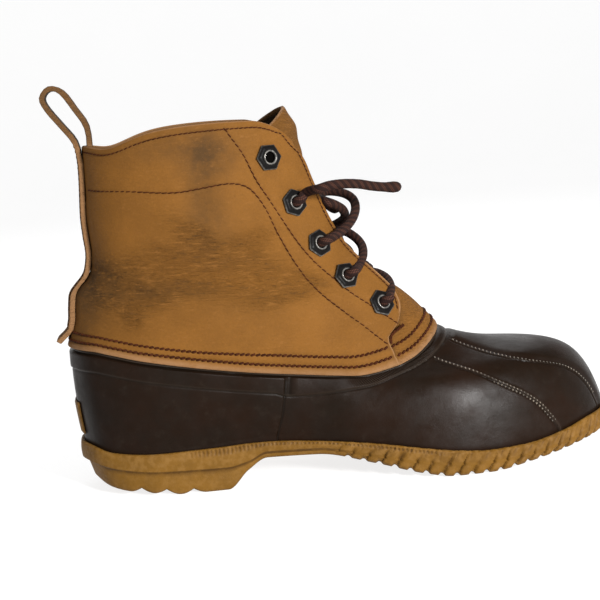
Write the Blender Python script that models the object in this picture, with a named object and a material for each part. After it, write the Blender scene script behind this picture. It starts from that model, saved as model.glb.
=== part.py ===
"""Duck boot, right foot: moulded rubber bottom, leather quarters, gum sole and loose laces.

Lengths are in millimetres until a mesh is made. X runs from the heel to the toe, Y to the
inner side of the foot and Z up from the floor. The boot stands on its heel and forefoot.
"""
from collections import namedtuple

import bmesh
import bpy
import numpy as np
from mathutils import Matrix, Vector

MM = 0.001

# Driving sizes of the boot
TOE_TIP_X = 291.0
TOE_TIP_Y = 8.0
HEEL_BACK_X = -0.6
RIM_FRONT_X = 195.0
RIM_BACK_X = HEEL_BACK_X
CLEARANCE = 0.3
TRAY_GAP = 0.5

# Wall thicknesses
RUBBER_WALL = 2.2
LEATHER_WALL = 1.8
TONGUE_WALL = 1.6
FOXING_WALL = 2.8
FOXING_RISE = 7.4
INSOLE_THICKNESS = 4.0

# The boot's place in its own frame: the origin lies under the middle of its box
ORIGIN_X = 141.5
ORIGIN_Y = 1.35

EdgePoint = namedtuple("EdgePoint", "x y")
SoleRow = namedtuple("SoleRow", "x ground step top floor")
RimRow = namedtuple("RimRow", "x z")
ShaftRow = namedtuple("ShaftRow", "back_x back_z front_x front_z outer inner sag")
ThroatRow = namedtuple("ThroatRow", "t angle")
TongueRow = namedtuple("TongueRow", "t offset angle")
StrapRow = namedtuple("StrapRow", "x z")

# Plan outline of the sole, from the toe tip along the outer side to the heel
OUTER_EDGE = (
    EdgePoint(TOE_TIP_X, TOE_TIP_Y),
    EdgePoint(286.0, -10.0),
    EdgePoint(273.5, -25.5),
    EdgePoint(255.0, -37.5),
    EdgePoint(232.0, -45.8),
    EdgePoint(207.0, -50.2),
    EdgePoint(180.0, -50.0),
    EdgePoint(150.0, -45.0),
    EdgePoint(120.0, -38.5),
    EdgePoint(92.0, -35.6),
    EdgePoint(62.0, -35.8),
    EdgePoint(34.0, -34.8),
    EdgePoint(12.0, -26.5),
    EdgePoint(1.5, -12.0),
    EdgePoint(HEEL_BACK_X, 0.0),
)

# The same along the inner side
INNER_EDGE = (
    EdgePoint(TOE_TIP_X, TOE_TIP_Y),
    EdgePoint(286.5, 24.5),
    EdgePoint(274.0, 38.5),
    EdgePoint(255.0, 48.2),
    EdgePoint(232.0, 53.0),
    EdgePoint(207.0, 52.5),
    EdgePoint(180.0, 47.5),
    EdgePoint(150.0, 39.5),
    EdgePoint(120.0, 33.0),
    EdgePoint(92.0, 31.8),
    EdgePoint(62.0, 33.8),
    EdgePoint(34.0, 34.2),
    EdgePoint(12.0, 26.5),
    EdgePoint(1.5, 12.0),
    EdgePoint(HEEL_BACK_X, 0.0),
)

# Heights along the sole: what meets the floor, the step of its side, its top edge and its tray's floor
SOLE = (
    SoleRow(-2.0, 8.0, 18.0, 27.0, 20.0),
    SoleRow(6.0, 5.6, 17.5, 26.2, 19.2),
    SoleRow(16.0, 4.0, 15.5, 23.8, 16.8),
    SoleRow(38.0, 1.6, 13.3, 22.6, 16.2),
    SoleRow(54.0, 0.0, 12.7, 22.8, 16.8),
    SoleRow(75.0, 0.0, 12.3, 23.3, 17.6),
    SoleRow(86.0, 9.5, 14.5, 23.8, 18.4),
    SoleRow(96.0, 15.2, 18.8, 23.9, 19.0),
    SoleRow(122.0, 15.2, 18.8, 22.6, 18.8),
    SoleRow(150.0, 9.5, 14.6, 20.0, 14.8),
    SoleRow(175.0, 2.7, 9.6, 16.2, 9.6),
    SoleRow(192.0, 0.0, 7.6, 13.6, 6.8),
    SoleRow(212.0, 0.0, 6.6, 12.0, 5.4),
    SoleRow(232.0, 2.3, 7.6, 12.5, 7.0),
    SoleRow(256.0, 5.6, 10.6, 16.0, 10.2),
    SoleRow(272.0, 7.6, 13.0, 19.2, 12.6),
    SoleRow(292.0, 9.2, 14.0, 20.4, 13.8),
)

# Lower edge of the leather, where it meets the rubber's raised band
RIM = (
    RimRow(-1.0, 77.4),
    RimRow(10.0, 77.4),
    RimRow(20.0, 75.6),
    RimRow(35.0, 72.0),
    RimRow(70.0, 65.0),
    RimRow(106.0, 59.2),
    RimRow(135.0, 55.3),
    RimRow(148.0, 54.0),
    RimRow(166.0, 56.4),
    RimRow(177.0, 59.9),
    RimRow(187.0, 65.7),
    RimRow(192.0, 69.0),
    RimRow(195.0, 71.0),
)

# Tilted sections of the ankle and shaft above the rim, from low to high
SHAFT = (
    ShaftRow(5.4, 92.0, 177.0, 91.0, 36.0, 35.0, 9.0),
    ShaftRow(10.0, 108.0, 155.5, 113.0, 35.0, 34.0, 4.0),
    ShaftRow(14.5, 125.0, 143.0, 133.0, 34.0, 33.0, 1.0),
    ShaftRow(15.0, 146.0, 135.0, 153.0, 33.5, 33.0, 0.0),
    ShaftRow(16.0, 165.0, 129.0, 171.0, 33.5, 33.0, -1.5),
    ShaftRow(16.0, 181.0, 124.5, 186.0, 34.5, 34.0, -5.0),
)

# Front edge of each quarter: half the opening's angle at each height above the rim
THROAT = (
    ThroatRow(0.00, 44.0),
    ThroatRow(0.07, 43.0),
    ThroatRow(0.10, 34.0),
    ThroatRow(0.15, 25.0),
    ThroatRow(0.22, 20.5),
    ThroatRow(0.40, 20.5),
    ThroatRow(1.00, 22.0),
)

# Vamp and tongue, one leather: distance from the boot's outer form, and half its width as an angle
TONGUE = (
    TongueRow(0.00, 0.3, 55.0),
    TongueRow(0.10, 0.3, 51.0),
    TongueRow(0.17, -0.4, 42.0),
    TongueRow(0.26, -4.0, 40.0),
    TongueRow(0.40, -7.5, 42.0),
    TongueRow(0.80, -7.5, 46.0),
    TongueRow(0.95, -5.0, 46.0),
    TongueRow(1.07, -3.0, 40.0),
)


def steps_between(xs, ys):
    """Slopes of a curve through points that never swings past them."""
    rise = np.diff(ys) / np.diff(xs)
    slopes = np.zeros(len(xs))
    same_way = rise[:-1] * rise[1:] > 0
    safe = np.where(same_way, rise[:-1] + rise[1:], 1.0)
    slopes[1:-1] = np.where(same_way, 2.0 * rise[:-1] * rise[1:] / safe, 0.0)
    slopes[0] = rise[0]
    slopes[-1] = rise[-1]
    return slopes


def read_curve(xs, ys, at):
    """Smooth curve through the points (xs, ys), read at the places given."""
    xs = np.asarray(xs, float)
    ys = np.asarray(ys, float)
    slopes = steps_between(xs, ys)
    cell = np.clip(np.searchsorted(xs, at) - 1, 0, len(xs) - 2)
    width = xs[cell + 1] - xs[cell]
    t = np.clip((at - xs[cell]) / width, 0.0, 1.0)
    ease = t * t * (3.0 - 2.0 * t)
    bend = slopes[cell] * t * (1.0 - t) ** 2 - slopes[cell + 1] * t * t * (1.0 - t)
    return ys[cell] * (1.0 - ease) + ys[cell + 1] * ease + width * bend


def read_table(table, column, at, key):
    """Smooth curve through one column of a table, read along its key column."""
    xs = [getattr(row, key) for row in table]
    ys = [getattr(row, column) for row in table]
    return read_curve(xs, ys, np.asarray(at, float))


def smooth_step(low, high, value):
    """Rises smoothly from 0 at low to 1 at high."""
    t = np.clip((np.asarray(value, float) - low) / (high - low), 0.0, 1.0)
    return t * t * (3.0 - 2.0 * t)


def round_edge(points, samples=40):
    """Rounded line through edge points, square to the boot's length at both ends."""
    way = np.array([(point.x, point.y) for point in points])
    tangents = np.gradient(way, axis=0)
    tangents[0] = (0.0, tangents[0][1])
    tangents[-1] = (0.0, tangents[-1][1])
    t = np.linspace(0.0, 1.0, samples, endpoint=False)[None, :, None]
    start = way[:-1, None, :]
    end = way[1:, None, :]
    ease = t * t * (3.0 - 2.0 * t)
    bend = tangents[:-1, None, :] * t * (1.0 - t) ** 2 - tangents[1:, None, :] * t * t * (1.0 - t)
    line = (start * (1.0 - ease) + end * ease + bend).reshape(-1, 2)
    return np.vstack([line, way[-1]])


OUTER_LINE = round_edge(OUTER_EDGE)
INNER_LINE = round_edge(INNER_EDGE)


def edge_width(x, inner):
    """Y of the sole's edge at x, on the inner or the outer side of the foot."""
    outer_y = np.interp(x, OUTER_LINE[::-1, 0], OUTER_LINE[::-1, 1])
    inner_y = np.interp(x, INNER_LINE[::-1, 0], INNER_LINE[::-1, 1])
    return np.where(inner, inner_y, outer_y)


def edge_normal(x, inner):
    """Unit normal of the sole's edge at x, pointing away from the boot."""
    normals = []
    for line, side in ((OUTER_LINE, -1.0), (INNER_LINE, 1.0)):
        along = np.gradient(line, axis=0)
        away = np.stack([along[:, 1], -along[:, 0]], axis=1) * side
        away /= np.linalg.norm(away, axis=1, keepdims=True)
        xs = line[::-1, 0]
        normals.append(np.stack([np.interp(x, xs, away[::-1, 0]), np.interp(x, xs, away[::-1, 1])], -1))
    chosen = np.where(np.asarray(inner)[..., None], normals[1], normals[0])
    return chosen / np.linalg.norm(chosen, axis=-1, keepdims=True)


def foot_centre(x):
    """Y of the foot's middle line at x, which swings to the inner side at the toe."""
    reach = np.clip((x - 150.0) / (TOE_TIP_X - 150.0), 0.0, 1.0)
    return TOE_TIP_Y * reach ** 1.5


def sole_x_of_rim(rim_x):
    """X on the sole's edge that belongs to a place on the rim: the toe spreads out in front of it."""
    spread = np.clip((rim_x - 110.0) / (RIM_FRONT_X - 110.0), 0.0, 1.0)
    return rim_x + (TOE_TIP_X - RIM_FRONT_X) * spread ** 1.6


def rim_point(angle):
    """The leather's lower edge at an angle round the boot, 0 at the toe and 180 at the heel."""
    x = RIM_BACK_X + (RIM_FRONT_X - RIM_BACK_X) * (1.0 + np.cos(angle)) / 2.0
    sole_x = sole_x_of_rim(x)
    narrow = 1.0 - 0.40 * smooth_step(85.0, 168.0, x)
    sole_y = edge_width(sole_x, np.sin(angle) > 0.0)
    centre = foot_centre(sole_x)
    y = centre * 0.4 + (sole_y - centre) * narrow
    return np.stack([x, y, read_table(RIM, "z", x, "x")], axis=-1)


def lower_form(angle, climb):
    """Outer face of the rubber: climb runs from 0 at the sole to 1 at the leather's edge.

    In plan each line runs straight from the sole's edge to the rim, after a short upright
    stretch behind the sole's raised edge. Its height rises steeply at first and flattens
    towards the rim, the more so the nearer it is to the toe.
    """
    rim = rim_point(angle)
    sole_x = sole_x_of_rim(rim[..., 0])
    inner = np.sin(angle) > 0.0
    away = edge_normal(sole_x, inner)
    inset = FOXING_WALL + TRAY_GAP
    foot_x = sole_x - away[..., 0] * inset
    foot_y = edge_width(sole_x, inner) - away[..., 1] * inset
    foot_z = shell_floor(sole_x)
    front = np.clip((sole_x - 120.0) / (TOE_TIP_X - 120.0), 0.0, 1.0)
    shoulder = rim[..., 2] + (43.0 + 15.0 * front - rim[..., 2]) * smooth_step(0.05, 0.4, front)
    top = shoulder + (rim[..., 2] - shoulder) * climb ** 4
    turn = 1.0 + 7.5 * front ** 2
    upright = 1.0 - (1.0 - FOXING_RISE / (shoulder - foot_z)) ** (1.0 / turn)
    lean = np.maximum(climb - upright, 0.0) / (1.0 - upright)
    z = top - (top - foot_z) * (1.0 - climb) ** turn
    belly = 1.2 * np.sin(np.pi * lean) * (1.0 - front)
    x = foot_x + (rim[..., 0] - foot_x) * lean + away[..., 0] * belly
    y = foot_y + (rim[..., 1] - foot_y) * lean + away[..., 1] * belly
    return np.stack([x, y, z], axis=-1)


def shaft_point(angle, row):
    """A point on one tilted section of the ankle or shaft."""
    along = (1.0 + np.cos(angle)) / 2.0
    half_width = np.where(np.sin(angle) > 0.0, row.inner, -row.outer)
    x = row.back_x + (row.front_x - row.back_x) * along
    y = half_width * np.abs(np.sin(angle)) * (1.0 - 0.10 * np.cos(angle))
    z = row.back_z + (row.front_z - row.back_z) * along - row.sag * np.sin(angle) ** 2
    return np.stack([x, y, z], axis=-1)


def upper_form(angle, height):
    """The boot's form above the rim: height runs from 0 at the rim to 1 at the collar.

    It is a smooth curve through the rim and the shaft's sections at each angle.
    """
    rows = np.stack([rim_point(angle)] + [shaft_point(angle, row) for row in SHAFT])
    tangents = np.gradient(rows, axis=0)
    place = np.clip(height, -0.2, 1.2) * len(SHAFT)
    cell = np.clip(np.floor(place).astype(int), 0, len(SHAFT) - 1)
    t = (place - cell)[..., None]
    picks = tuple(np.indices(cell.shape))
    start = rows[(cell,) + picks]
    end = rows[(cell + 1,) + picks]
    leave = tangents[(cell,) + picks]
    arrive = tangents[(cell + 1,) + picks]
    inside = np.clip(t, 0.0, 1.0)
    ease = inside * inside * (3.0 - 2.0 * inside)
    bend = leave * inside * (1.0 - inside) ** 2 - arrive * inside ** 2 * (1.0 - inside)
    return start * (1.0 - ease) + end * ease + bend + (t - inside) * arrive


def form(angle, level):
    """The boot's outer form: level 0 to 1 is the rubber and 1 to 2 the leather above it."""
    angle, level = np.broadcast_arrays(np.asarray(angle, float), np.asarray(level, float))
    low = lower_form(angle, np.clip(level, 0.0, 1.0))
    high = upper_form(angle, level - 1.0)
    return np.where((level < 1.0)[..., None], low, high)


def form_normal(angle, level):
    """Unit normal of the form, pointing away from the foot."""
    turn = 0.01
    rise = 0.012
    round_boot = form(angle + turn, level) - form(angle - turn, level)
    up_boot = form(angle, np.minimum(level + rise, 2.08)) - form(angle, np.maximum(level - rise, 0.0))
    normal = np.cross(round_boot, up_boot)
    return normal / np.maximum(np.linalg.norm(normal, axis=-1, keepdims=True), 1e-9)


def surface(angle, level, distance):
    """Points at a distance outside the form (inside it where the distance is negative)."""
    angle, level = np.broadcast_arrays(np.asarray(angle, float), np.asarray(level, float))
    distance = np.broadcast_to(np.asarray(distance, float), angle.shape)
    return form(angle, level) + form_normal(angle, level) * distance[..., None]


def sole_floor(x):
    """Height of the sole's floor inside its raised edge."""
    return read_table(SOLE, "floor", x, "x")


def shell_floor(x):
    """Height of the rubber shell's underside, resting in the sole."""
    return sole_floor(x) + CLEARANCE


def add_object(name, mesh, material):
    """Links a new object that has its own material, at the origin."""
    shape = bpy.data.objects.new(name, mesh)
    bpy.context.collection.objects.link(shape)
    shape.data.materials.append(material)
    return shape


def finish_mesh(name, bm, material, smooth_angle=40.0):
    """Welds, triangulates and turns outwards a closed mesh in millimetres, and links it in metres."""
    bmesh.ops.remove_doubles(bm, verts=bm.verts, dist=0.02)
    bmesh.ops.dissolve_degenerate(bm, edges=bm.edges, dist=0.002)
    bmesh.ops.triangulate(bm, faces=bm.faces)
    bmesh.ops.recalc_face_normals(bm, faces=bm.faces)
    if bm.calc_volume(signed=True) < 0.0:
        bmesh.ops.reverse_faces(bm, faces=bm.faces)
    place = Matrix.Diagonal((MM, MM, MM, 1.0)) @ Matrix.Translation((-ORIGIN_X, -ORIGIN_Y, 0.0))
    bm.transform(place)
    mesh = bpy.data.meshes.new(name)
    bm.to_mesh(mesh)
    bm.free()
    mesh.shade_smooth()
    mesh.set_sharp_from_angle(angle=np.radians(smooth_angle))
    return add_object(name, mesh, material)


def add_grid(bm, points, wrap_rows=False, wrap_columns=False):
    """Adds a grid of points (rows by columns) as quads and returns its vertices."""
    verts = [[bm.verts.new(point) for point in row] for row in points]
    rows = len(verts)
    columns = len(verts[0])
    for r in range(rows if wrap_rows else rows - 1):
        for c in range(columns if wrap_columns else columns - 1):
            below = verts[r]
            above = verts[(r + 1) % rows]
            n = (c + 1) % columns
            bm.faces.new((below[c], below[n], above[n], above[c]))
    return verts


def add_wall(bm, outer, inner, ring):
    """Adds a sheet with two faces (rows by columns each), closed along all its edges."""
    out = add_grid(bm, outer, wrap_columns=ring)
    ins = add_grid(bm, inner, wrap_columns=ring)
    columns = len(out[0])
    for row in (0, -1):
        for c in range(columns if ring else columns - 1):
            n = (c + 1) % columns
            bm.faces.new((out[row][c], out[row][n], ins[row][n], ins[row][c]))
    if ring:
        return
    for column in (0, -1):
        rim = [row[column] for row in out] + [row[column] for row in reversed(ins)]
        bm.faces.new(rim)


def turned(angles):
    """Angles in degrees as radians."""
    return np.radians(np.asarray(angles, float))


# Materials

def make_material(name, colour, roughness, metallic=0.0):
    """A plain Principled material."""
    material = bpy.data.materials.new(name)
    material.use_nodes = True
    shader = material.node_tree.nodes["Principled BSDF"]
    shader.inputs["Base Color"].default_value = (*colour, 1.0)
    shader.inputs["Roughness"].default_value = roughness
    shader.inputs["Metallic"].default_value = metallic
    material.diffuse_color = (*colour, 1.0)
    return material


# Sole

LUG_PITCH = 8.0
LUG_SHARES = (0.0, 0.45, 0.72)
LUG_CRESTS = (1.0, 1.0, 0.0)
FOREFOOT_LUGS = 23
WAIST_STEPS = 6
HEEL_PITCH = 13.0
HEEL_SHARES = (0.0, 0.62, 0.81)
HEEL_LUGS = 7
LUG_DEPTH = 3.2
HEEL_NOTCH = 2.4
HEEL_TUCK = 4.2
HEEL_TUCK_END_X = 26.0
FAN_FRONT_X = 274.0
FAN_BACK_X = 22.0


def edge_lengths():
    """Distance along the outer edge from the toe tip, at each of its points."""
    steps = np.linalg.norm(np.diff(OUTER_LINE, axis=0), axis=1)
    return np.concatenate([[0.0], np.cumsum(steps)])


def tread_stations():
    """X of each station from toe to heel, whether it is on a lug's crest, and its groove's depth."""
    along = []
    crest = []
    depth = []
    for lug in range(FOREFOOT_LUGS):
        for share, height in zip(LUG_SHARES, LUG_CRESTS):
            along.append((lug + share) * LUG_PITCH)
            crest.append(height)
            depth.append(LUG_DEPTH)
    waist_start = FOREFOOT_LUGS * LUG_PITCH
    lengths = edge_lengths()
    heel_start = lengths[-1] - HEEL_LUGS * HEEL_PITCH
    for step in range(WAIST_STEPS):
        along.append(waist_start + (heel_start - waist_start) * step / WAIST_STEPS)
        crest.append(1.0)
        depth.append(0.0)
    for lug in range(HEEL_LUGS):
        for share, height in zip(HEEL_SHARES, LUG_CRESTS):
            along.append(heel_start + (lug + share) * HEEL_PITCH)
            crest.append(height)
            depth.append(HEEL_NOTCH)
    along.append(lengths[-1])
    crest.append(1.0)
    depth.append(HEEL_NOTCH)
    x = np.interp(along, lengths, OUTER_LINE[:, 0])
    return x, np.array(crest), np.array(depth)


def around(values):
    """A row from toe to heel, followed by the same row back along the inner side."""
    return np.concatenate([values, values[-2:0:-1]])


def sole_ring(x, inner, inset, z, shift=0.0):
    """A loop round the sole, at a distance in from its edge."""
    away = edge_normal(x, inner)
    edge_y = edge_width(x, inner)
    inset = np.broadcast_to(inset, x.shape)
    return np.stack([x - away[:, 0] * inset + shift, edge_y - away[:, 1] * inset, z], axis=1)


def spine_ring(x, z, share=0.0, inner=None, shift=0.0):
    """A loop along the sole's middle line, or at a share of the way from it to the edge."""
    spine_x = np.clip(x, FAN_BACK_X, FAN_FRONT_X)
    spine_y = foot_centre(spine_x) * 0.6
    if share == 0.0:
        return np.stack([spine_x + shift, spine_y, z], axis=1)
    edge_y = edge_width(x, inner)
    return np.stack([
        spine_x + (x - spine_x) * share + shift,
        spine_y + (edge_y - spine_y) * share,
        z,
    ], axis=1)


def make_outsole(material):
    """Gum sole: a tray with a raised edge above, heel block, arch and wavy cross lugs below."""
    x, crest, depth = tread_stations()
    inner = np.concatenate([np.zeros(len(x), bool), np.ones(len(x) - 2, bool)])
    x = around(x)
    groove = (1.0 - around(crest)) * around(depth)
    top = read_table(SOLE, "top", x, "x")
    step = read_table(SOLE, "step", x, "x")
    ground = read_table(SOLE, "ground", x, "x")
    floor = sole_floor(x)
    room = np.clip((step - ground) / 6.0, 0.0, 1.0)
    side_groove = groove * 0.42 * room
    groove = groove * room
    tuck = HEEL_TUCK * (1.0 - smooth_step(0.0, HEEL_TUCK_END_X, x))
    middle = (x > FAN_BACK_X) & (x < FAN_FRONT_X)
    wave = 2.2 * (x > 120.0) * middle
    fan = np.where(middle, 0.0, 1.0)
    spine_floor = sole_floor(np.clip(x, FAN_BACK_X, FAN_FRONT_X))
    spine_ground = read_table(SOLE, "ground", np.clip(x, FAN_BACK_X, FAN_FRONT_X), "x")
    rows = [
        spine_ring(x, spine_floor),
        sole_ring(x, inner, FOXING_WALL, floor),
        sole_ring(x, inner, FOXING_WALL - 0.2, top),
        sole_ring(x, inner, 0.4, top),
        sole_ring(x, inner, side_groove * 0.5, step + 0.5),
        sole_ring(x, inner, 1.1 + side_groove + tuck * 0.4, step - 0.6),
        sole_ring(x, inner, 1.3 + side_groove + tuck, ground + 2.2 + groove * 0.5),
        sole_ring(x, inner, 2.8 + side_groove + tuck, ground + groove),
        spine_ring(x, ground + groove, 0.5, inner, wave),
        spine_ring(x, spine_ground + groove * (1.0 - fan) + 1.2 * fan, shift=-wave),
    ]
    bm = bmesh.new()
    add_grid(bm, rows, wrap_rows=False, wrap_columns=True)
    return finish_mesh("outsole", bm, material, smooth_angle=35.0)


# Rubber bottom

BAND_START = 0.86
BAND_END = 0.975
BAND_PROUD = 0.6
COUNTER_ANGLE = 86.0
COUNTER_PROUD = 0.7
COUNTER_START = 0.16
SEAM_ANGLES = (9.0, 28.0)
SEAM_DEPTH = 0.9
RIM_HIDDEN = 0.07
RIM_THINNING = 0.4
MARGIN_WIDTH = 9.0


RUBBER_CLIMBS = (0.0, 0.03, 0.07, 0.14, 0.18, 0.27, 0.4, 0.53, 0.68, 0.85, 0.87, 0.97, 0.982, 1.0)
LINING_CLIMBS = (0.07, 0.14, 0.27, 0.45, 0.68, 0.87, 1.0)


def rubber_angles():
    """Stations round the rubber, dense at the seams of its toe and at its side joints."""
    side = [0.0, 4.5, 8.0, 9.0, 10.0, 15.0, 21.0, 27.0, 28.0, 29.0, 35.0, 42.0, 50.0, 58.0, 66.0,
            74.0, 81.0, 85.6, 86.4, 93.0, 102.0, 112.0, 122.0, 132.0, 142.0, 152.0, 162.0, 171.0, 180.0]
    back = [-angle for angle in side[-2:0:-1]]
    return turned(side + back)


def rubber_relief(angle, climb):
    """Height of the rubber's raised band and rear counter, and depth of the seams on its toe."""
    degrees = np.abs(np.degrees(angle))
    band = BAND_PROUD * ((climb > BAND_START) & (climb < BAND_END))
    counter = COUNTER_PROUD * (degrees > COUNTER_ANGLE) * ((climb > COUNTER_START) & (climb < BAND_END))
    seam = np.zeros(angle.shape)
    for place in SEAM_ANGLES:
        seam = np.where(np.abs(degrees - place) < 0.3, SEAM_DEPTH, seam)
    seam = seam * smooth_step(0.06, 0.2, climb) * (climb < BAND_START)
    return band + counter - seam - RIM_THINNING * (climb > 0.99)


def make_rubber_shell(material):
    """Hollow rubber bottom with a closed toe, open at its rim and, inside a turned-in edge, below."""
    angles = rubber_angles()
    angle, climb = np.meshgrid(angles, RUBBER_CLIMBS)
    outer = surface(angle, climb, rubber_relief(angle, climb))
    sole_x = sole_x_of_rim(rim_point(angles)[:, 0])
    side = angles > 0.0
    floor = shell_floor(sole_x)
    inset = FOXING_WALL + TRAY_GAP
    margin = sole_ring(sole_x, side, inset + MARGIN_WIDTH, floor)
    margin_top = sole_ring(sole_x, side, inset + MARGIN_WIDTH, floor + RUBBER_WALL)
    corner = sole_ring(sole_x, side, inset + RUBBER_WALL, floor + RUBBER_WALL)
    angle, climb = np.meshgrid(angles, LINING_CLIMBS)
    lining = surface(angle, climb, -RUBBER_WALL)
    angle, level = np.meshgrid(angles, (1.0 + RIM_HIDDEN,))
    outer = np.vstack([margin[None], outer, surface(angle, level, -RIM_THINNING)])
    inner = np.vstack([margin_top[None], corner[None], lining, surface(angle, level, -RUBBER_WALL)])
    bm = bmesh.new()
    add_wall(bm, outer, inner, ring=True)
    return finish_mesh("rubber_shell", bm, material)


# Insole

def make_insole(material):
    """Flat footbed on the turned-in edge of the rubber shell."""
    angles = rubber_angles()
    sole_x = sole_x_of_rim(rim_point(angles)[:, 0])
    side = angles > 0.0
    inset = FOXING_WALL + RUBBER_WALL + 2.6 + 2.0 * smooth_step(230.0, 280.0, sole_x)
    low = shell_floor(sole_x) + RUBBER_WALL + CLEARANCE
    middle_x = np.clip(sole_x, FAN_BACK_X, FAN_FRONT_X - 12.0)
    middle_low = shell_floor(middle_x) + RUBBER_WALL + CLEARANCE
    middle = np.stack([middle_x, foot_centre(middle_x) * 0.6, middle_low], axis=1)
    edge = sole_ring(sole_x, side, inset, low)
    seat = sole_ring(sole_x, side, FOXING_WALL + MARGIN_WIDTH + 2.0, low)
    up = np.array([0.0, 0.0, INSOLE_THICKNESS])
    bm = bmesh.new()
    add_grid(bm, [middle + up, edge + up, edge, seat, middle], wrap_columns=True)
    return finish_mesh("insole", bm, material)


# Leather

QUARTER_HEIGHTS = (0.0, 0.035, 0.07, 0.10, 0.15, 0.20, 0.29, 0.40, 0.53, 0.66, 0.79, 0.91, 1.0)
LINING_HEIGHTS = (0.0, 0.035, 0.07, 0.10, 0.15, 0.20, 0.29, 0.40, 0.53, 0.79, 1.0)

# Each column's share of the way from the throat to the back seam; the last three carry the strap
QUARTER_SHARES = (0.0, 0.025, 0.06, 0.10, 0.145, 0.20, 0.27, 0.35, 0.44, 0.53, 0.62, 0.71, 0.79,
                  0.87, 0.945, 0.972, 1.0)
STRAP_COLUMNS = 2
LAP_MARGIN = 3.0
LAP_FADE = 14.0
LAP_LIFT = 2.4


def collar_drop(share, height):
    """How far the collar is rounded off beside the throat, and dips on each side of its back."""
    corner = 9.0 * (1.0 - smooth_step(0.0, 0.10, share))
    dip = 4.0 * np.exp(-((share - 0.74) / 0.12) ** 2)
    return (corner + dip) * smooth_step(0.75, 1.0, height)


def quarter_lift(angle, height):
    """Lift of the quarter's front part, which lies over the vamp piece."""
    vamp_edge = turned(read_table(TONGUE, "angle", height, "t") + LAP_MARGIN)
    over_vamp = 1.0 - smooth_step(vamp_edge, vamp_edge + turned(LAP_FADE), np.abs(angle))
    return LAP_LIFT * over_vamp * (1.0 - smooth_step(0.26, 0.44, height))


def quarter_surface(angle, height, edge, distance):
    """The quarters' face at a distance from the form, with the collar's front corners rounded."""
    share = (np.abs(angle) - edge) / (np.pi - edge)
    points = surface(angle, 1.0 + height, CLEARANCE + quarter_lift(angle, height) + distance)
    points[..., 2] -= collar_drop(share, height)
    return points


def quarter_grid(heights, distance):
    """One face of both quarters as a grid, from the outer side's front edge round to the inner's."""
    spread = np.array(QUARTER_SHARES)
    spread = np.concatenate([spread, 2.0 - spread[-2::-1]])
    share, height = np.meshgrid(spread, heights)
    edge = turned(read_table(THROAT, "angle", heights, "t"))[:, None]
    round_from_front = edge + (np.pi - edge) * np.minimum(share, 2.0 - share)
    angle = np.where(share <= 1.0, -round_from_front, round_from_front)
    return quarter_surface(angle, height, np.broadcast_to(edge, angle.shape), distance)


def make_leather_upper(material):
    """Both quarters, joined at the back: a hollow leather wall open at the collar and throat."""
    outer = quarter_grid(QUARTER_HEIGHTS, LEATHER_WALL)
    inner = quarter_grid(LINING_HEIGHTS, 0.0)
    bm = bmesh.new()
    add_wall(bm, outer, inner, ring=False)
    return finish_mesh("leather_upper", bm, material)


def make_tongue(material):
    """Vamp piece on the rubber's rim and the tongue that rises from it behind the throat."""
    heights = np.array([0.0, 0.05, 0.10, 0.17, 0.26, 0.40, 0.56, 0.72, 0.86, 0.97, 1.05])
    share = np.linspace(-1.0, 1.0, 13)
    share, height = np.meshgrid(share, heights)
    half = turned(read_table(TONGUE, "angle", heights, "t"))[:, None]
    angle = share * half
    offset = read_table(TONGUE, "offset", heights, "t")[:, None]
    tuck = -1.2 * smooth_step(0.6, 1.0, np.abs(share)) * smooth_step(0.2, 0.4, height)
    level = 1.0 + height - 0.05 * share ** 4 * smooth_step(0.9, 1.05, height)
    outer = surface(angle, level, offset + tuck + TONGUE_WALL)
    inner = surface(angle, level, offset + tuck)
    bm = bmesh.new()
    add_wall(bm, outer, inner, ring=False)
    return finish_mesh("tongue", bm, material)


# Back strap and pull loop

STRAP_WALL = 2.8
STRAP_HEIGHTS = (0.10, 0.15, 0.20, 0.29, 0.40, 0.53, 0.66, 0.79, 0.91)
STRAP_TAIL = StrapRow(-6.6, 79.5)
LOOP_END_HEIGHTS = (0.96, 0.84)

# Middle line of the free loop above the collar, seen from the side
PULL_LOOP = (
    StrapRow(11.0, 183.0),
    StrapRow(5.2, 191.5),
    StrapRow(-1.4, 200.5),
    StrapRow(-3.6, 206.5),
    StrapRow(0.4, 211.0),
    StrapRow(6.4, 209.0),
    StrapRow(12.4, 200.0),
    StrapRow(17.6, 190.5),
)


def loop_rows(across):
    """Outer and inner rows of the free loop, square to its middle line."""
    line = np.array(PULL_LOOP)
    along = np.gradient(line, axis=0)
    along /= np.linalg.norm(along, axis=1, keepdims=True)
    out = np.stack([-along[:, 1], along[:, 0]], axis=1) * STRAP_WALL / 2.0
    rows = []
    for side in (1.0, -1.0):
        place = line + out * side
        rows.append([[(x, y, z) for y in across] for x, z in place])
    return np.array(rows[0]), np.array(rows[1])


def strap_rows(heights, distance):
    """Rows of the strap that lie along the back of the leather."""
    middle = len(QUARTER_SHARES) - 1
    return quarter_grid(heights, distance)[:, middle - STRAP_COLUMNS:middle + STRAP_COLUMNS + 1]


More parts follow.
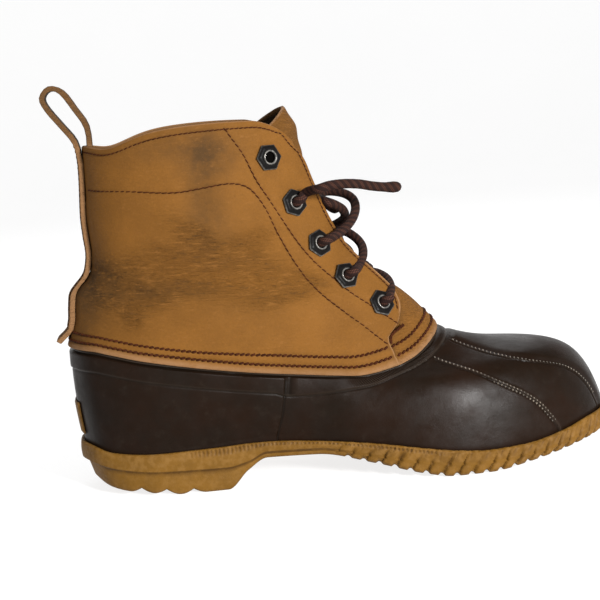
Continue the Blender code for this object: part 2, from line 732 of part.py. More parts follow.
def make_back_strap(material):
    """Leather strip up the back seam, which turns over above the collar as the pull loop."""
    back_out = strap_rows(STRAP_HEIGHTS, LEATHER_WALL + CLEARANCE + STRAP_WALL)
    back_in = strap_rows(STRAP_HEIGHTS, LEATHER_WALL + CLEARANCE)
    flat = np.array([0.0, 1.0, 0.0])
    tail_out = back_out[0] * flat + (STRAP_TAIL.x - 1.4, 0.0, STRAP_TAIL.z + 1.6)
    tail_in = back_out[0] * flat + (STRAP_TAIL.x + 1.0, 0.0, STRAP_TAIL.z)
    loop_out, loop_in = loop_rows(back_out[-1, :, 1])
    end_out = strap_rows(LOOP_END_HEIGHTS, -CLEARANCE * 2.0 - STRAP_WALL)
    end_in = strap_rows(LOOP_END_HEIGHTS, -CLEARANCE * 2.0)
    outer = np.vstack([tail_out[None], back_out, loop_out, end_out])
    inner = np.vstack([tail_in[None], back_in, loop_in, end_in])
    bm = bmesh.new()
    add_wall(bm, outer, inner, ring=False)
    return finish_mesh("back_strap", bm, material)


def make_heel_patch(material):
    """Small bare patch on the back of the rubber heel."""
    side = turned((17.5, 12.0, 6.0))
    angles = np.concatenate([np.pi - side, [np.pi], np.pi + side[::-1]])
    angle, climb = np.meshgrid(angles, (0.20, 0.35, 0.5))
    outer = surface(angle, climb, COUNTER_PROUD + CLEARANCE + 0.9)
    inner = surface(angle, climb, COUNTER_PROUD + CLEARANCE)
    bm = bmesh.new()
    add_wall(bm, outer, inner, ring=False)
    return finish_mesh("heel_patch", bm, material)


# Eyelets and lace

EyeletRow = namedtuple("EyeletRow", "x z")
EyeletRing = namedtuple("EyeletRing", "radius height")
LacePoint = namedtuple("LacePoint", "x y z")
BendRow = namedtuple("BendRow", "rise run")

# Each side's eyelets from the top, seen from the side
EYELETS = (
    EyeletRow(108.2, 169.5),
    EyeletRow(119.6, 145.8),
    EyeletRow(131.4, 124.0),
    EyeletRow(144.2, 105.2),
    EyeletRow(161.2, 89.8),
)

# Section of an eyelet: its tube, raised ring and six-sided flange
EYELET_SECTION = (
    EyeletRing(2.8, 0.0),
    EyeletRing(2.9, 1.7),
    EyeletRing(4.3, 1.7),
    EyeletRing(6.7, 0.7),
    EyeletRing(6.7, 0.0),
)
EYELET_SEAT = 0.75
EYELET_SIDES = 12
HEXAGON_DEPTH = 0.09
LACE_RADIUS = 2.4
LACE_SIDES = 6
STRAND_POINTS = 14
CORD_POINTS = 13


def find_on_quarter(x, z, inner):
    """Angle and height on the quarter of a place given as seen from the side."""
    side = 1.0 if inner else -1.0
    place = np.array([0.6, 0.5])
    nudge = 0.001
    for _ in range(30):
        here = form(side * place[0], 1.0 + place[1])[[0, 2]]
        turn = (form(side * (place[0] + nudge), 1.0 + place[1])[[0, 2]] - here) / nudge
        rise = (form(side * place[0], 1.0 + place[1] + nudge)[[0, 2]] - here) / nudge
        step = np.linalg.solve(np.stack([turn, rise], axis=1), np.array([x, z]) - here)
        place = np.clip(place + 0.7 * step, (0.3, 0.05), (2.0, 0.98))
    return side * place[0], place[1]


def eyelet_seat(index, inner):
    """Centre of an eyelet on the leather's outer face, and the direction it faces."""
    row = EYELETS[index]
    angle, height = find_on_quarter(row.x, row.z, inner)
    lift = quarter_lift(np.array(angle), np.array(height))
    centre = surface(angle, 1.0 + height, CLEARANCE + LEATHER_WALL + lift)
    return centre, form_normal(np.array(angle), np.array(1.0 + height)), height


def make_eyelet(name, index, inner, material):
    """Eyelet with a round hole and a six-sided flange, flat on the leather."""
    centre, facing, _ = eyelet_seat(index, inner)
    turn = Vector(facing).to_track_quat("Z", "Y").to_matrix()
    around_hole = np.arange(EYELET_SIDES) * 2.0 * np.pi / EYELET_SIDES
    flats = 1.0 - HEXAGON_DEPTH * (np.arange(EYELET_SIDES) % 2)
    rings = []
    for ring in EYELET_SECTION:
        edge = flats if ring.radius > 5.0 else 1.0
        radius = ring.radius * edge
        height = np.full(EYELET_SIDES, ring.height + EYELET_SEAT)
        rings.append(np.stack([radius * np.cos(around_hole), radius * np.sin(around_hole), height], axis=1))
    bm = bmesh.new()
    add_grid(bm, rings, wrap_rows=True, wrap_columns=True)
    bm.transform(Matrix.Translation(centre) @ turn.to_4x4())
    return finish_mesh(name, bm, material, smooth_angle=30.0)


def smooth_route(points, count):
    """Evenly numbered points of a smooth curve through a route's own points."""
    points = np.asarray(points, float)
    tangents = np.gradient(points, axis=0)
    place = np.linspace(0.0, len(points) - 1.0, count)
    cell = np.minimum(place.astype(int), len(points) - 2)
    t = (place - cell)[:, None]
    ease = t * t * (3.0 - 2.0 * t)
    bend = tangents[cell] * t * (1.0 - t) ** 2 - tangents[cell + 1] * t * t * (1.0 - t)
    return points[cell] * (1.0 - ease) + points[cell + 1] * ease + bend


def add_tube(bm, route, radius, sides):
    """Adds a closed tube along a route, each ring square to it."""
    along = np.gradient(route, axis=0)
    along /= np.linalg.norm(along, axis=1, keepdims=True)
    across = np.cross(along, np.array([0.0, 0.0, 1.0]))
    across /= np.linalg.norm(across, axis=1, keepdims=True)
    up = np.cross(across, along)
    turn = np.arange(sides)[None, :, None] * 2.0 * np.pi / sides
    rings = route[:, None] + radius * (np.cos(turn) * across[:, None] + np.sin(turn) * up[:, None])
    verts = add_grid(bm, rings, wrap_columns=True)
    bm.faces.new(verts[0])
    bm.faces.new(verts[-1])


# Way of each crossing's outer strand in front of the throat, from its eyelet to the far quarter's edge
CROSSINGS = (
    (
        LacePoint(149.0, -16.0, 131.5),
        LacePoint(154.5, -5.0, 138.0),
        LacePoint(153.0, 3.5, 143.5),
        LacePoint(145.0, 7.5, 147.0),
    ),
    (
        LacePoint(158.0, -14.0, 113.5),
        LacePoint(159.0, -2.0, 117.5),
        LacePoint(156.0, 4.0, 122.5),
        LacePoint(150.5, 7.5, 125.5),
    ),
    (
        LacePoint(172.0, -13.0, 98.0),
        LacePoint(172.5, -1.0, 103.0),
        LacePoint(169.5, 5.0, 105.5),
    ),
)

# How far each crossing's other strand lies from the first one's mirror image
STRAND_SHIFTS = (
    LacePoint(-1.8, 0.0, -2.4),
    LacePoint(1.2, 0.0, 2.0),
    LacePoint(1.2, 0.0, 2.0),
)

# How a lace comes straight out of its eyelet and bends over: height above the leather, and way sideways
LACE_BEND = (
    BendRow(0.5, 0.0),
    BendRow(3.2, 0.2),
    BendRow(5.4, 2.4),
    BendRow(6.0, 6.2),
)
LACE_END_ANGLE = 14.0


def leave_eyelet(index, inner, target):
    """Points of a lace that comes straight out of an eyelet and bends towards a target."""
    centre, facing, _ = eyelet_seat(index, inner)
    ahead = np.array(target) - centre
    ahead = ahead - facing * np.dot(ahead, facing)
    ahead = ahead / np.linalg.norm(ahead)
    return np.array([centre + facing * row.rise + ahead * row.run for row in LACE_BEND])


def over_tongue(angle, height, gap):
    """A lace's centre at a distance above the tongue."""
    offset = read_table(TONGUE, "offset", height, "t")
    return surface(angle, 1.0 + height, offset + TONGUE_WALL + LACE_RADIUS + gap)


def strand_route(index, inner):
    """Route of one strand from an eyelet over the throat to the other quarter's edge, one row up."""
    side = 1.0 if inner else -1.0
    _, _, far_height = eyelet_seat(index + 1, not inner)
    way = np.array(CROSSINGS[index])
    if inner:
        way = way * (1.0, -1.0, 1.0) + STRAND_SHIFTS[index]
    end = over_tongue(-side * turned(LACE_END_ANGLE), far_height, 0.4)
    return np.vstack([leave_eyelet(index + 2, inner, way[0]), way, end[None]])


def make_lace_crossing(index, material):
    """Two strands that cross in front of the throat, joined where they touch."""
    name = "lace_crossing_" + str(index + 1)
    strands = []
    for inner in (False, True):
        bm = bmesh.new()
        add_tube(bm, smooth_route(strand_route(index, inner), STRAND_POINTS), LACE_RADIUS, LACE_SIDES)
        strands.append(finish_mesh(name, bm, material, smooth_angle=60.0))
    joined, cutter = strands
    join = joined.modifiers.new("join", "BOOLEAN")
    join.operation = "UNION"
    join.solver = "EXACT"
    join.object = cutter
    cutter.name = name + "_join"
    cutter.hide_render = True
    cutter.display_type = "WIRE"
    return joined


# Free ends of the lace, each from the second eyelet of its side
OUTER_END = (
    LacePoint(131.5, -36.5, 152.4),
    LacePoint(140.0, -36.0, 154.0),
    LacePoint(152.0, -34.5, 153.2),
    LacePoint(163.0, -33.0, 150.8),
    LacePoint(174.5, -31.5, 150.0),
)
INNER_END = (
    LacePoint(133.0, 28.0, 144.5),
    LacePoint(140.5, 22.0, 140.5),
    LacePoint(148.0, 15.0, 136.0),
)


def make_lace_end(name, inner, way, material):
    """Loose end of the lace, a round cord."""
    way = np.array(way)
    route = smooth_route(np.vstack([leave_eyelet(1, inner, way[0]), way]), CORD_POINTS)
    place = (route - (ORIGIN_X, ORIGIN_Y, 0.0)) * MM
    curve = bpy.data.curves.new(name, "CURVE")
    curve.dimensions = "3D"
    curve.bevel_depth = LACE_RADIUS * MM
    curve.bevel_resolution = 2
    curve.resolution_u = 1
    curve.use_fill_caps = True
    spline = curve.splines.new("POLY")
    spline.points.add(len(place) - 1)
    for point, spot in zip(spline.points, place):
        point.co = (*spot, 1.0)
    return add_object(name, curve, material)


def main():
    """Builds every piece of the boot."""
    for shape in list(bpy.data.objects):
        bpy.data.objects.remove(shape, do_unlink=True)
    gum = make_material("gum_rubber", (0.47, 0.25, 0.07), 0.55)
    rubber = make_material("brown_rubber", (0.05, 0.028, 0.02), 0.38)
    leather = make_material("tan_leather", (0.45, 0.24, 0.07), 0.62)
    felt = make_material("insole_felt", (0.16, 0.10, 0.06), 0.9)
    metal = make_material("eyelet_metal", (0.10, 0.10, 0.11), 0.35, 0.9)
    lace = make_material("lace_cord", (0.06, 0.03, 0.025), 0.8)
    make_outsole(gum)
    make_rubber_shell(rubber)
    make_insole(felt)
    make_leather_upper(leather)
    make_tongue(leather)
    make_back_strap(leather)
    make_heel_patch(gum)
    for index in range(len(EYELETS)):
        make_eyelet("eyelet_outer_" + str(index + 1), index, False, metal)
        make_eyelet("eyelet_inner_" + str(index + 1), index, True, metal)
    for index in range(len(CROSSINGS)):
        make_lace_crossing(index, lace)
    make_lace_end("lace_end_outer", False, OUTER_END, lace)
    make_lace_end("lace_end_inner", True, INNER_END, lace)


main()
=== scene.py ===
"""Duck boot, right foot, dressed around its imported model.

Lengths are in the boot's own millimetres until a mesh is made: X runs from the heel to the toe,
Y to the inner side of the foot and Z up from the floor. The form's functions and tables are
those of the part's own source, read on finer grids.
"""

from collections import namedtuple

import bmesh
import bpy
import numpy as np
from mathutils import Matrix, Vector


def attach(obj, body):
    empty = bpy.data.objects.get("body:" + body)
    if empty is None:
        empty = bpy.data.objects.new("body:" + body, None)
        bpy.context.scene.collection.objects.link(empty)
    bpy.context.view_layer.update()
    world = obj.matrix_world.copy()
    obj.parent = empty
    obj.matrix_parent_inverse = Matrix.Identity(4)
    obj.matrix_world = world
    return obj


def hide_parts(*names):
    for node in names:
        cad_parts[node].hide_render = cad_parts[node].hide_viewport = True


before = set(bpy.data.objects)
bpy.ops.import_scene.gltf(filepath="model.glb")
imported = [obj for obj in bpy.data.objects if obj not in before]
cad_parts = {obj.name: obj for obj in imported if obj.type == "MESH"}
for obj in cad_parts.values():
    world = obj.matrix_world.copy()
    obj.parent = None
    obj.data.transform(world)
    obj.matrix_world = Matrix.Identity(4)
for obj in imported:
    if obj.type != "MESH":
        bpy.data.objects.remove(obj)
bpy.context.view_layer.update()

bl_info = {
    "name": "Duck boot",
    "version": (1, 0, 0),
    "blender": (4, 5, 0),
    "location": "View3D > Sidebar > Boot",
    "description": "Builds a laced duck boot of rubber and leather around its packed model",
    "category": "Add Mesh",
}

MM = 0.001
ROOT = "root"

# Driving sizes of the boot, as in the part's source
TOE_TIP_X = 291.0
TOE_TIP_Y = 8.0
HEEL_BACK_X = -0.6
RIM_FRONT_X = 195.0
RIM_BACK_X = HEEL_BACK_X
CLEARANCE = 0.3
TRAY_GAP = 0.5
RUBBER_WALL = 2.2
LEATHER_WALL = 1.8
TONGUE_WALL = 1.6
FOXING_WALL = 2.8
FOXING_RISE = 7.4
INSOLE_THICKNESS = 4.0
ORIGIN_X = 141.5
ORIGIN_Y = 1.35


def table(columns, rows):
    """A table's rows with their columns named."""
    named = namedtuple("Row", columns)
    return tuple(named(*row) for row in rows)


# Plan outline of the sole, from the toe tip along the outer side to the heel
OUTER_EDGE = table("x y", (
    (TOE_TIP_X, TOE_TIP_Y), (286.0, -10.0), (273.5, -25.5),
    (255.0, -37.5), (232.0, -45.8), (207.0, -50.2),
    (180.0, -50.0), (150.0, -45.0), (120.0, -38.5),
    (92.0, -35.6), (62.0, -35.8), (34.0, -34.8),
    (12.0, -26.5), (1.5, -12.0), (HEEL_BACK_X, 0.0),
))

# The same along the inner side
INNER_EDGE = table("x y", (
    (TOE_TIP_X, TOE_TIP_Y), (286.5, 24.5), (274.0, 38.5),
    (255.0, 48.2), (232.0, 53.0), (207.0, 52.5),
    (180.0, 47.5), (150.0, 39.5), (120.0, 33.0),
    (92.0, 31.8), (62.0, 33.8), (34.0, 34.2),
    (12.0, 26.5), (1.5, 12.0), (HEEL_BACK_X, 0.0),
))

# Heights along the sole: what meets the floor, the step of its side, its top edge, its tray's floor
SOLE = table("x ground step top floor", (
    (-2.0, 8.0, 18.0, 27.0, 20.0),
    (6.0, 5.6, 17.5, 26.2, 19.2),
    (16.0, 4.0, 15.5, 23.8, 16.8),
    (38.0, 1.6, 13.3, 22.6, 16.2),
    (54.0, 0.0, 12.7, 22.8, 16.8),
    (75.0, 0.0, 12.3, 23.3, 17.6),
    (86.0, 9.5, 14.5, 23.8, 18.4),
    (96.0, 15.2, 18.8, 23.9, 19.0),
    (122.0, 15.2, 18.8, 22.6, 18.8),
    (150.0, 9.5, 14.6, 20.0, 14.8),
    (175.0, 2.7, 9.6, 16.2, 9.6),
    (192.0, 0.0, 7.6, 13.6, 6.8),
    (212.0, 0.0, 6.6, 12.0, 5.4),
    (232.0, 2.3, 7.6, 12.5, 7.0),
    (256.0, 5.6, 10.6, 16.0, 10.2),
    (272.0, 7.6, 13.0, 19.2, 12.6),
    (292.0, 9.2, 14.0, 20.4, 13.8),
))

# Lower edge of the leather, where it meets the rubber's raised band
RIM = table("x z", (
    (-1.0, 77.4), (10.0, 77.4), (20.0, 75.6), (35.0, 72.0),
    (70.0, 65.0), (106.0, 59.2), (135.0, 55.3), (148.0, 54.0),
    (166.0, 56.4), (177.0, 59.9), (187.0, 65.7), (192.0, 69.0),
    (195.0, 71.0),
))

# Tilted sections of the ankle and shaft above the rim, from low to high
SHAFT = table("back_x back_z front_x front_z outer inner sag", (
    (5.4, 92.0, 177.0, 91.0, 36.0, 35.0, 9.0),
    (10.0, 108.0, 155.5, 113.0, 35.0, 34.0, 4.0),
    (14.5, 125.0, 143.0, 133.0, 34.0, 33.0, 1.0),
    (15.0, 146.0, 135.0, 153.0, 33.5, 33.0, 0.0),
    (16.0, 165.0, 129.0, 171.0, 33.5, 33.0, -1.5),
    (16.0, 181.0, 124.5, 186.0, 34.5, 34.0, -5.0),
))

# Front edge of each quarter: half the opening's angle at each height above the rim
THROAT = table("t angle", (
    (0.00, 44.0), (0.07, 43.0), (0.10, 34.0), (0.15, 25.0),
    (0.22, 20.5), (0.40, 20.5), (1.00, 22.0),
))

# Vamp and tongue, one leather: distance from the boot's outer form, and half its width as an angle
TONGUE = table("t offset angle", (
    (0.00, 0.3, 55.0), (0.10, 0.3, 51.0), (0.17, -0.4, 42.0),
    (0.26, -4.0, 40.0), (0.40, -7.5, 42.0), (0.80, -7.5, 46.0),
    (0.95, -5.0, 46.0), (1.07, -3.0, 40.0),
))


# Curves, tables and the boot's form

def steps_between(xs, ys):
    """Slopes of a curve through points that never swings past them."""
    rise = np.diff(ys) / np.diff(xs)
    slopes = np.zeros(len(xs))
    same_way = rise[:-1] * rise[1:] > 0
    safe = np.where(same_way, rise[:-1] + rise[1:], 1.0)
    slopes[1:-1] = np.where(same_way, 2.0 * rise[:-1] * rise[1:] / safe, 0.0)
    slopes[0] = rise[0]
    slopes[-1] = rise[-1]
    return slopes


def read_curve(xs, ys, at):
    """Smooth curve through the points (xs, ys), read at the places given."""
    xs = np.asarray(xs, float)
    ys = np.asarray(ys, float)
    slopes = steps_between(xs, ys)
    cell = np.clip(np.searchsorted(xs, at) - 1, 0, len(xs) - 2)
    width = xs[cell + 1] - xs[cell]
    t = np.clip((at - xs[cell]) / width, 0.0, 1.0)
    ease = t * t * (3.0 - 2.0 * t)
    bend = slopes[cell] * t * (1.0 - t) ** 2 - slopes[cell + 1] * t * t * (1.0 - t)
    return ys[cell] * (1.0 - ease) + ys[cell + 1] * ease + width * bend


def read_table(rows, column, at, key):
    """Smooth curve through one column of a table, read along its key column."""
    xs = [getattr(row, key) for row in rows]
    ys = [getattr(row, column) for row in rows]
    return read_curve(xs, ys, np.asarray(at, float))


def smooth_step(low, high, value):
    """Rises smoothly from 0 at low to 1 at high."""
    t = np.clip((np.asarray(value, float) - low) / (high - low), 0.0, 1.0)
    return t * t * (3.0 - 2.0 * t)


def hump(value, place, width):
    """A soft bump of height 1 at a place, a bell curve of the given half width."""
    return np.exp(-((np.asarray(value, float) - place) / width) ** 2)


def turned(angles):
    """Angles in degrees as radians."""
    return np.radians(np.asarray(angles, float))


def round_edge(points, samples=40):
    """Rounded line through edge points, square to the boot's length at both ends."""
    way = np.array([(point.x, point.y) for point in points])
    tangents = np.gradient(way, axis=0)
    tangents[0] = (0.0, tangents[0][1])
    tangents[-1] = (0.0, tangents[-1][1])
    t = np.linspace(0.0, 1.0, samples, endpoint=False)[None, :, None]
    start = way[:-1, None, :]
    end = way[1:, None, :]
    ease = t * t * (3.0 - 2.0 * t)
    bend = tangents[:-1, None, :] * t * (1.0 - t) ** 2 - tangents[1:, None, :] * t * t * (1.0 - t)
    line = (start * (1.0 - ease) + end * ease + bend).reshape(-1, 2)
    return np.vstack([line, way[-1]])


OUTER_LINE = round_edge(OUTER_EDGE)
INNER_LINE = round_edge(INNER_EDGE)


def edge_width(x, inner):
    """Y of the sole's edge at x, on the inner or the outer side of the foot."""
    outer_y = np.interp(x, OUTER_LINE[::-1, 0], OUTER_LINE[::-1, 1])
    inner_y = np.interp(x, INNER_LINE[::-1, 0], INNER_LINE[::-1, 1])
    return np.where(inner, inner_y, outer_y)


def edge_normal(x, inner):
    """Unit normal of the sole's edge at x, pointing away from the boot."""
    normals = []
    for line, side in ((OUTER_LINE, -1.0), (INNER_LINE, 1.0)):
        along = np.gradient(line, axis=0)
        away = np.stack([along[:, 1], -along[:, 0]], axis=1) * side
        away /= np.linalg.norm(away, axis=1, keepdims=True)
        xs = line[::-1, 0]
        normals.append(np.stack([np.interp(x, xs, away[::-1, 0]), np.interp(x, xs, away[::-1, 1])], -1))
    chosen = np.where(np.asarray(inner)[..., None], normals[1], normals[0])
    return chosen / np.linalg.norm(chosen, axis=-1, keepdims=True)


def foot_centre(x):
    """Y of the foot's middle line at x, which swings to the inner side at the toe."""
    reach = np.clip((x - 150.0) / (TOE_TIP_X - 150.0), 0.0, 1.0)
    return TOE_TIP_Y * reach ** 1.5


def sole_x_of_rim(rim_x):
    """X on the sole's edge that belongs to a place on the rim: the toe spreads out in front of it."""
    spread = np.clip((rim_x - 110.0) / (RIM_FRONT_X - 110.0), 0.0, 1.0)
    return rim_x + (TOE_TIP_X - RIM_FRONT_X) * spread ** 1.6


def rim_point(angle):
    """The leather's lower edge at an angle round the boot, 0 at the toe and 180 at the heel."""
    x = RIM_BACK_X + (RIM_FRONT_X - RIM_BACK_X) * (1.0 + np.cos(angle)) / 2.0
    sole_x = sole_x_of_rim(x)
    narrow = 1.0 - 0.40 * smooth_step(85.0, 168.0, x)
    sole_y = edge_width(sole_x, np.sin(angle) > 0.0)
    centre = foot_centre(sole_x)
    y = centre * 0.4 + (sole_y - centre) * narrow
    return np.stack([x, y, read_table(RIM, "z", x, "x")], axis=-1)


def sole_floor(x):
    """Height of the sole's floor inside its raised edge."""
    return read_table(SOLE, "floor", x, "x")


def shell_floor(x):
    """Height of the rubber shell's underside, resting in the sole."""
    return sole_floor(x) + CLEARANCE


def lower_form(angle, climb):
    """Outer face of the rubber: climb runs from 0 at the sole to 1 at the leather's edge.

    In plan each line runs straight from the sole's edge to the rim, after a short upright
    stretch behind the sole's raised edge. Its height rises steeply at first and flattens
    towards the rim, the more so the nearer it is to the toe.
    """
    rim = rim_point(angle)
    sole_x = sole_x_of_rim(rim[..., 0])
    inner = np.sin(angle) > 0.0
    away = edge_normal(sole_x, inner)
    inset = FOXING_WALL + TRAY_GAP
    foot_x = sole_x - away[..., 0] * inset
    foot_y = edge_width(sole_x, inner) - away[..., 1] * inset
    foot_z = shell_floor(sole_x)
    front = np.clip((sole_x - 120.0) / (TOE_TIP_X - 120.0), 0.0, 1.0)
    shoulder = rim[..., 2] + (43.0 + 15.0 * front - rim[..., 2]) * smooth_step(0.05, 0.4, front)
    top = shoulder + (rim[..., 2] - shoulder) * climb ** 4
    turn = 1.0 + 7.5 * front ** 2
    upright = 1.0 - (1.0 - FOXING_RISE / (shoulder - foot_z)) ** (1.0 / turn)
    lean = np.maximum(climb - upright, 0.0) / (1.0 - upright)
    z = top - (top - foot_z) * (1.0 - climb) ** turn
    belly = 1.2 * np.sin(np.pi * lean) * (1.0 - front)
    x = foot_x + (rim[..., 0] - foot_x) * lean + away[..., 0] * belly
    y = foot_y + (rim[..., 1] - foot_y) * lean + away[..., 1] * belly
    return np.stack([x, y, z], axis=-1)


def shaft_point(angle, row):
    """A point on one tilted section of the ankle or shaft."""
    along = (1.0 + np.cos(angle)) / 2.0
    half_width = np.where(np.sin(angle) > 0.0, row.inner, -row.outer)
    x = row.back_x + (row.front_x - row.back_x) * along
    y = half_width * np.abs(np.sin(angle)) * (1.0 - 0.10 * np.cos(angle))
    z = row.back_z + (row.front_z - row.back_z) * along - row.sag * np.sin(angle) ** 2
    return np.stack([x, y, z], axis=-1)


def upper_form(angle, height):
    """The boot's form above the rim: height runs from 0 at the rim to 1 at the collar.

    It is a smooth curve through the rim and the shaft's sections at each angle.
    """
    rows = np.stack([rim_point(angle)] + [shaft_point(angle, row) for row in SHAFT])
    tangents = np.gradient(rows, axis=0)
    place = np.clip(height, -0.2, 1.2) * len(SHAFT)
    cell = np.clip(np.floor(place).astype(int), 0, len(SHAFT) - 1)
    t = (place - cell)[..., None]
    picks = tuple(np.indices(cell.shape))
    start = rows[(cell,) + picks]
    end = rows[(cell + 1,) + picks]
    leave = tangents[(cell,) + picks]
    arrive = tangents[(cell + 1,) + picks]
    inside = np.clip(t, 0.0, 1.0)
    ease = inside * inside * (3.0 - 2.0 * inside)
    bend = leave * inside * (1.0 - inside) ** 2 - arrive * inside ** 2 * (1.0 - inside)
    return start * (1.0 - ease) + end * ease + bend + (t - inside) * arrive


def form(angle, level):
    """The boot's outer form: level 0 to 1 is the rubber and 1 to 2 the leather above it."""
    angle, level = np.broadcast_arrays(np.asarray(angle, float), np.asarray(level, float))
    low = lower_form(angle, np.clip(level, 0.0, 1.0))
    high = upper_form(angle, level - 1.0)
    return np.where((level < 1.0)[..., None], low, high)


def form_normal(angle, level):
    """Unit normal of the form, pointing away from the foot."""
    turn = 0.01
    rise = 0.012
    round_boot = form(angle + turn, level) - form(angle - turn, level)
    up_boot = form(angle, np.minimum(level + rise, 2.08)) - form(angle, np.maximum(level - rise, 0.0))
    normal = np.cross(round_boot, up_boot)
    return normal / np.maximum(np.linalg.norm(normal, axis=-1, keepdims=True), 1e-9)


def surface(angle, level, distance):
    """Points at a distance outside the form (inside it where the distance is negative)."""
    angle, level = np.broadcast_arrays(np.asarray(angle, float), np.asarray(level, float))
    distance = np.broadcast_to(np.asarray(distance, float), angle.shape)
    return form(angle, level) + form_normal(angle, level) * distance[..., None]


# Meshes

def to_metres(points):
    """Boot millimetres as metres in the model's own frame."""
    return (np.asarray(points, float) - (ORIGIN_X, ORIGIN_Y, 0.0)) * MM


def smooth_route(points, count):
    """Evenly numbered points of a smooth curve through a route's own points."""
    points = np.asarray(points, float)
    tangents = np.gradient(points, axis=0)
    place = np.linspace(0.0, len(points) - 1.0, count)
    cell = np.minimum(place.astype(int), len(points) - 2)
    t = (place - cell).reshape((-1,) + (1,) * (points.ndim - 1))
    ease = t * t * (3.0 - 2.0 * t)
    bend = tangents[cell] * t * (1.0 - t) ** 2 - tangents[cell + 1] * t * t * (1.0 - t)
    return points[cell] * (1.0 - ease) + points[cell + 1] * ease + bend


def way_along(points):
    """Distance along a line, or down each column of a grid, from its first point."""
    steps = np.linalg.norm(np.diff(points, axis=0), axis=-1)
    return np.concatenate([np.zeros((1,) + steps.shape[1:]), np.cumsum(steps, axis=0)])


def even_route(points, step):
    """The same smooth curve with points one step apart along it."""
    dense = smooth_route(points, len(points) * 12)
    length = way_along(dense)
    at = np.linspace(0.0, length[-1], max(int(length[-1] / step), 2) + 1)
    return np.stack([np.interp(at, length, dense[:, axis]) for axis in range(dense.shape[1])], axis=1)


def quads(rows, columns, start=0, wrap_rows=False, wrap_columns=False):
    """Corner numbers of every quad of a grid whose points start at a number."""
    r, c = np.meshgrid(
        np.arange(rows if wrap_rows else rows - 1),
        np.arange(columns if wrap_columns else columns - 1),
        indexing="ij",
    )
    up = (r + 1) % rows
    right = (c + 1) % columns
    corners = np.stack([r * columns + c, r * columns + right, up * columns + right, up * columns + c], -1)
    return corners.reshape(-1, 4) + start


def wall_faces(rows, inner_rows, columns, ring):
    """Faces of a sheet with an outer and an inner grid, closed along all its edges.

    The outer grid has a whole number of rows for each row of the inner one, so each side edge
    is closed by faces that take several outer points and two inner ones.
    """
    start = rows * columns
    faces = [
        quads(rows, columns, 0, wrap_columns=ring),
        quads(inner_rows, columns, start, wrap_columns=ring)[:, ::-1],
    ]
    c = np.arange(columns if ring else columns - 1)
    n = (c + 1) % columns
    top = (rows - 1) * columns
    inner_top = start + (inner_rows - 1) * columns
    faces.append(np.stack([top + c, top + n, inner_top + n, inner_top + c], -1))
    faces.append(np.stack([n, c, start + c, start + n], -1))
    if not ring:
        share = (rows - 1) // (inner_rows - 1)
        k = np.arange(inner_rows - 1)
        out = np.stack([(k * share + j) * columns for j in range(share + 1)], -1)
        ins = np.stack([start + (k + 1) * columns, start + k * columns], -1)
        left = np.concatenate([out, ins], axis=1)
        faces.append(left)
        faces.append((left + columns - 1)[:, ::-1])
    return faces


def enclosed_volume(points, faces):
    """Signed volume inside a closed mesh: the sum of its faces' own cones from the origin."""
    total = 0.0
    for group in faces:
        first = points[group[:, 0]]
        for k in range(1, group.shape[1] - 1):
            total += np.sum(first * np.cross(points[group[:, k]], points[group[:, k + 1]]))
    return total / 6.0


def add_mesh(name, points, faces, material, marks=None, smooth_angle=45.0):
    """Links a closed mesh given in millimetres, turned outwards, with values at its points."""
    points = to_metres(points)
    if enclosed_volume(points, faces) < 0.0:
        faces = [group[:, ::-1] for group in faces]
    corners = np.concatenate([group.ravel() for group in faces])
    counts = np.concatenate([np.full(len(group), group.shape[1]) for group in faces])
    mesh = bpy.data.meshes.new(name)
    mesh.vertices.add(len(points))
    mesh.vertices.foreach_set("co", points.astype(np.float32).ravel())
    mesh.loops.add(len(corners))
    mesh.loops.foreach_set("vertex_index", corners.astype(np.int32))
    mesh.polygons.add(len(counts))
    mesh.polygons.foreach_set("loop_start", np.concatenate([[0], np.cumsum(counts)[:-1]]).astype(np.int32))
    mesh.polygons.foreach_set("loop_total", counts.astype(np.int32))
    mesh.update(calc_edges=True)
    for mark, values in (marks or {}).items():
        values = np.asarray(values, np.float32)
        kind = "FLOAT" if values.ndim == 1 else "FLOAT_VECTOR"
        field = "value" if values.ndim == 1 else "vector"
        layer = mesh.attributes.new(mark, kind, "POINT")
        layer.data.foreach_set(field, values.ravel())
    mesh.validate()
    mesh.shade_smooth()
    mesh.set_sharp_from_angle(angle=np.radians(smooth_angle))
    piece = bpy.data.objects.new(name, mesh)
    bpy.context.scene.collection.objects.link(piece)
    piece.data.materials.append(material)
    return piece


def border_of(shape):
    """A grid of zeros with ones along all four edges."""
    mark = np.ones(shape[:2])
    mark[1:-1, 1:-1] = 0.0
    return mark


def add_sheet(name, outer, inner, material, marks, smooth_angle, ring=False):
    """Adds a sheet from its outer and inner grids; each mark is a pair of values, one for each grid."""
    points = np.concatenate([outer.reshape(-1, 3), inner.reshape(-1, 3)])
    faces = wall_faces(len(outer), len(inner), outer.shape[1], ring)
    values = {}
    for mark, pair in marks.items():
        spread = [np.broadcast_to(part, grid.shape[:2]).ravel() for part, grid in zip(pair, (outer, inner))]
        values[mark] = np.concatenate(spread)
    return add_mesh(name, points, faces, material, values, smooth_angle)


def place_piece(piece, nodes=()):
    """Lets a piece ride on the boot and stand for its CAD nodes, which are hidden."""
    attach(piece, ROOT)
    if nodes:
        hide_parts(*nodes)
    return piece


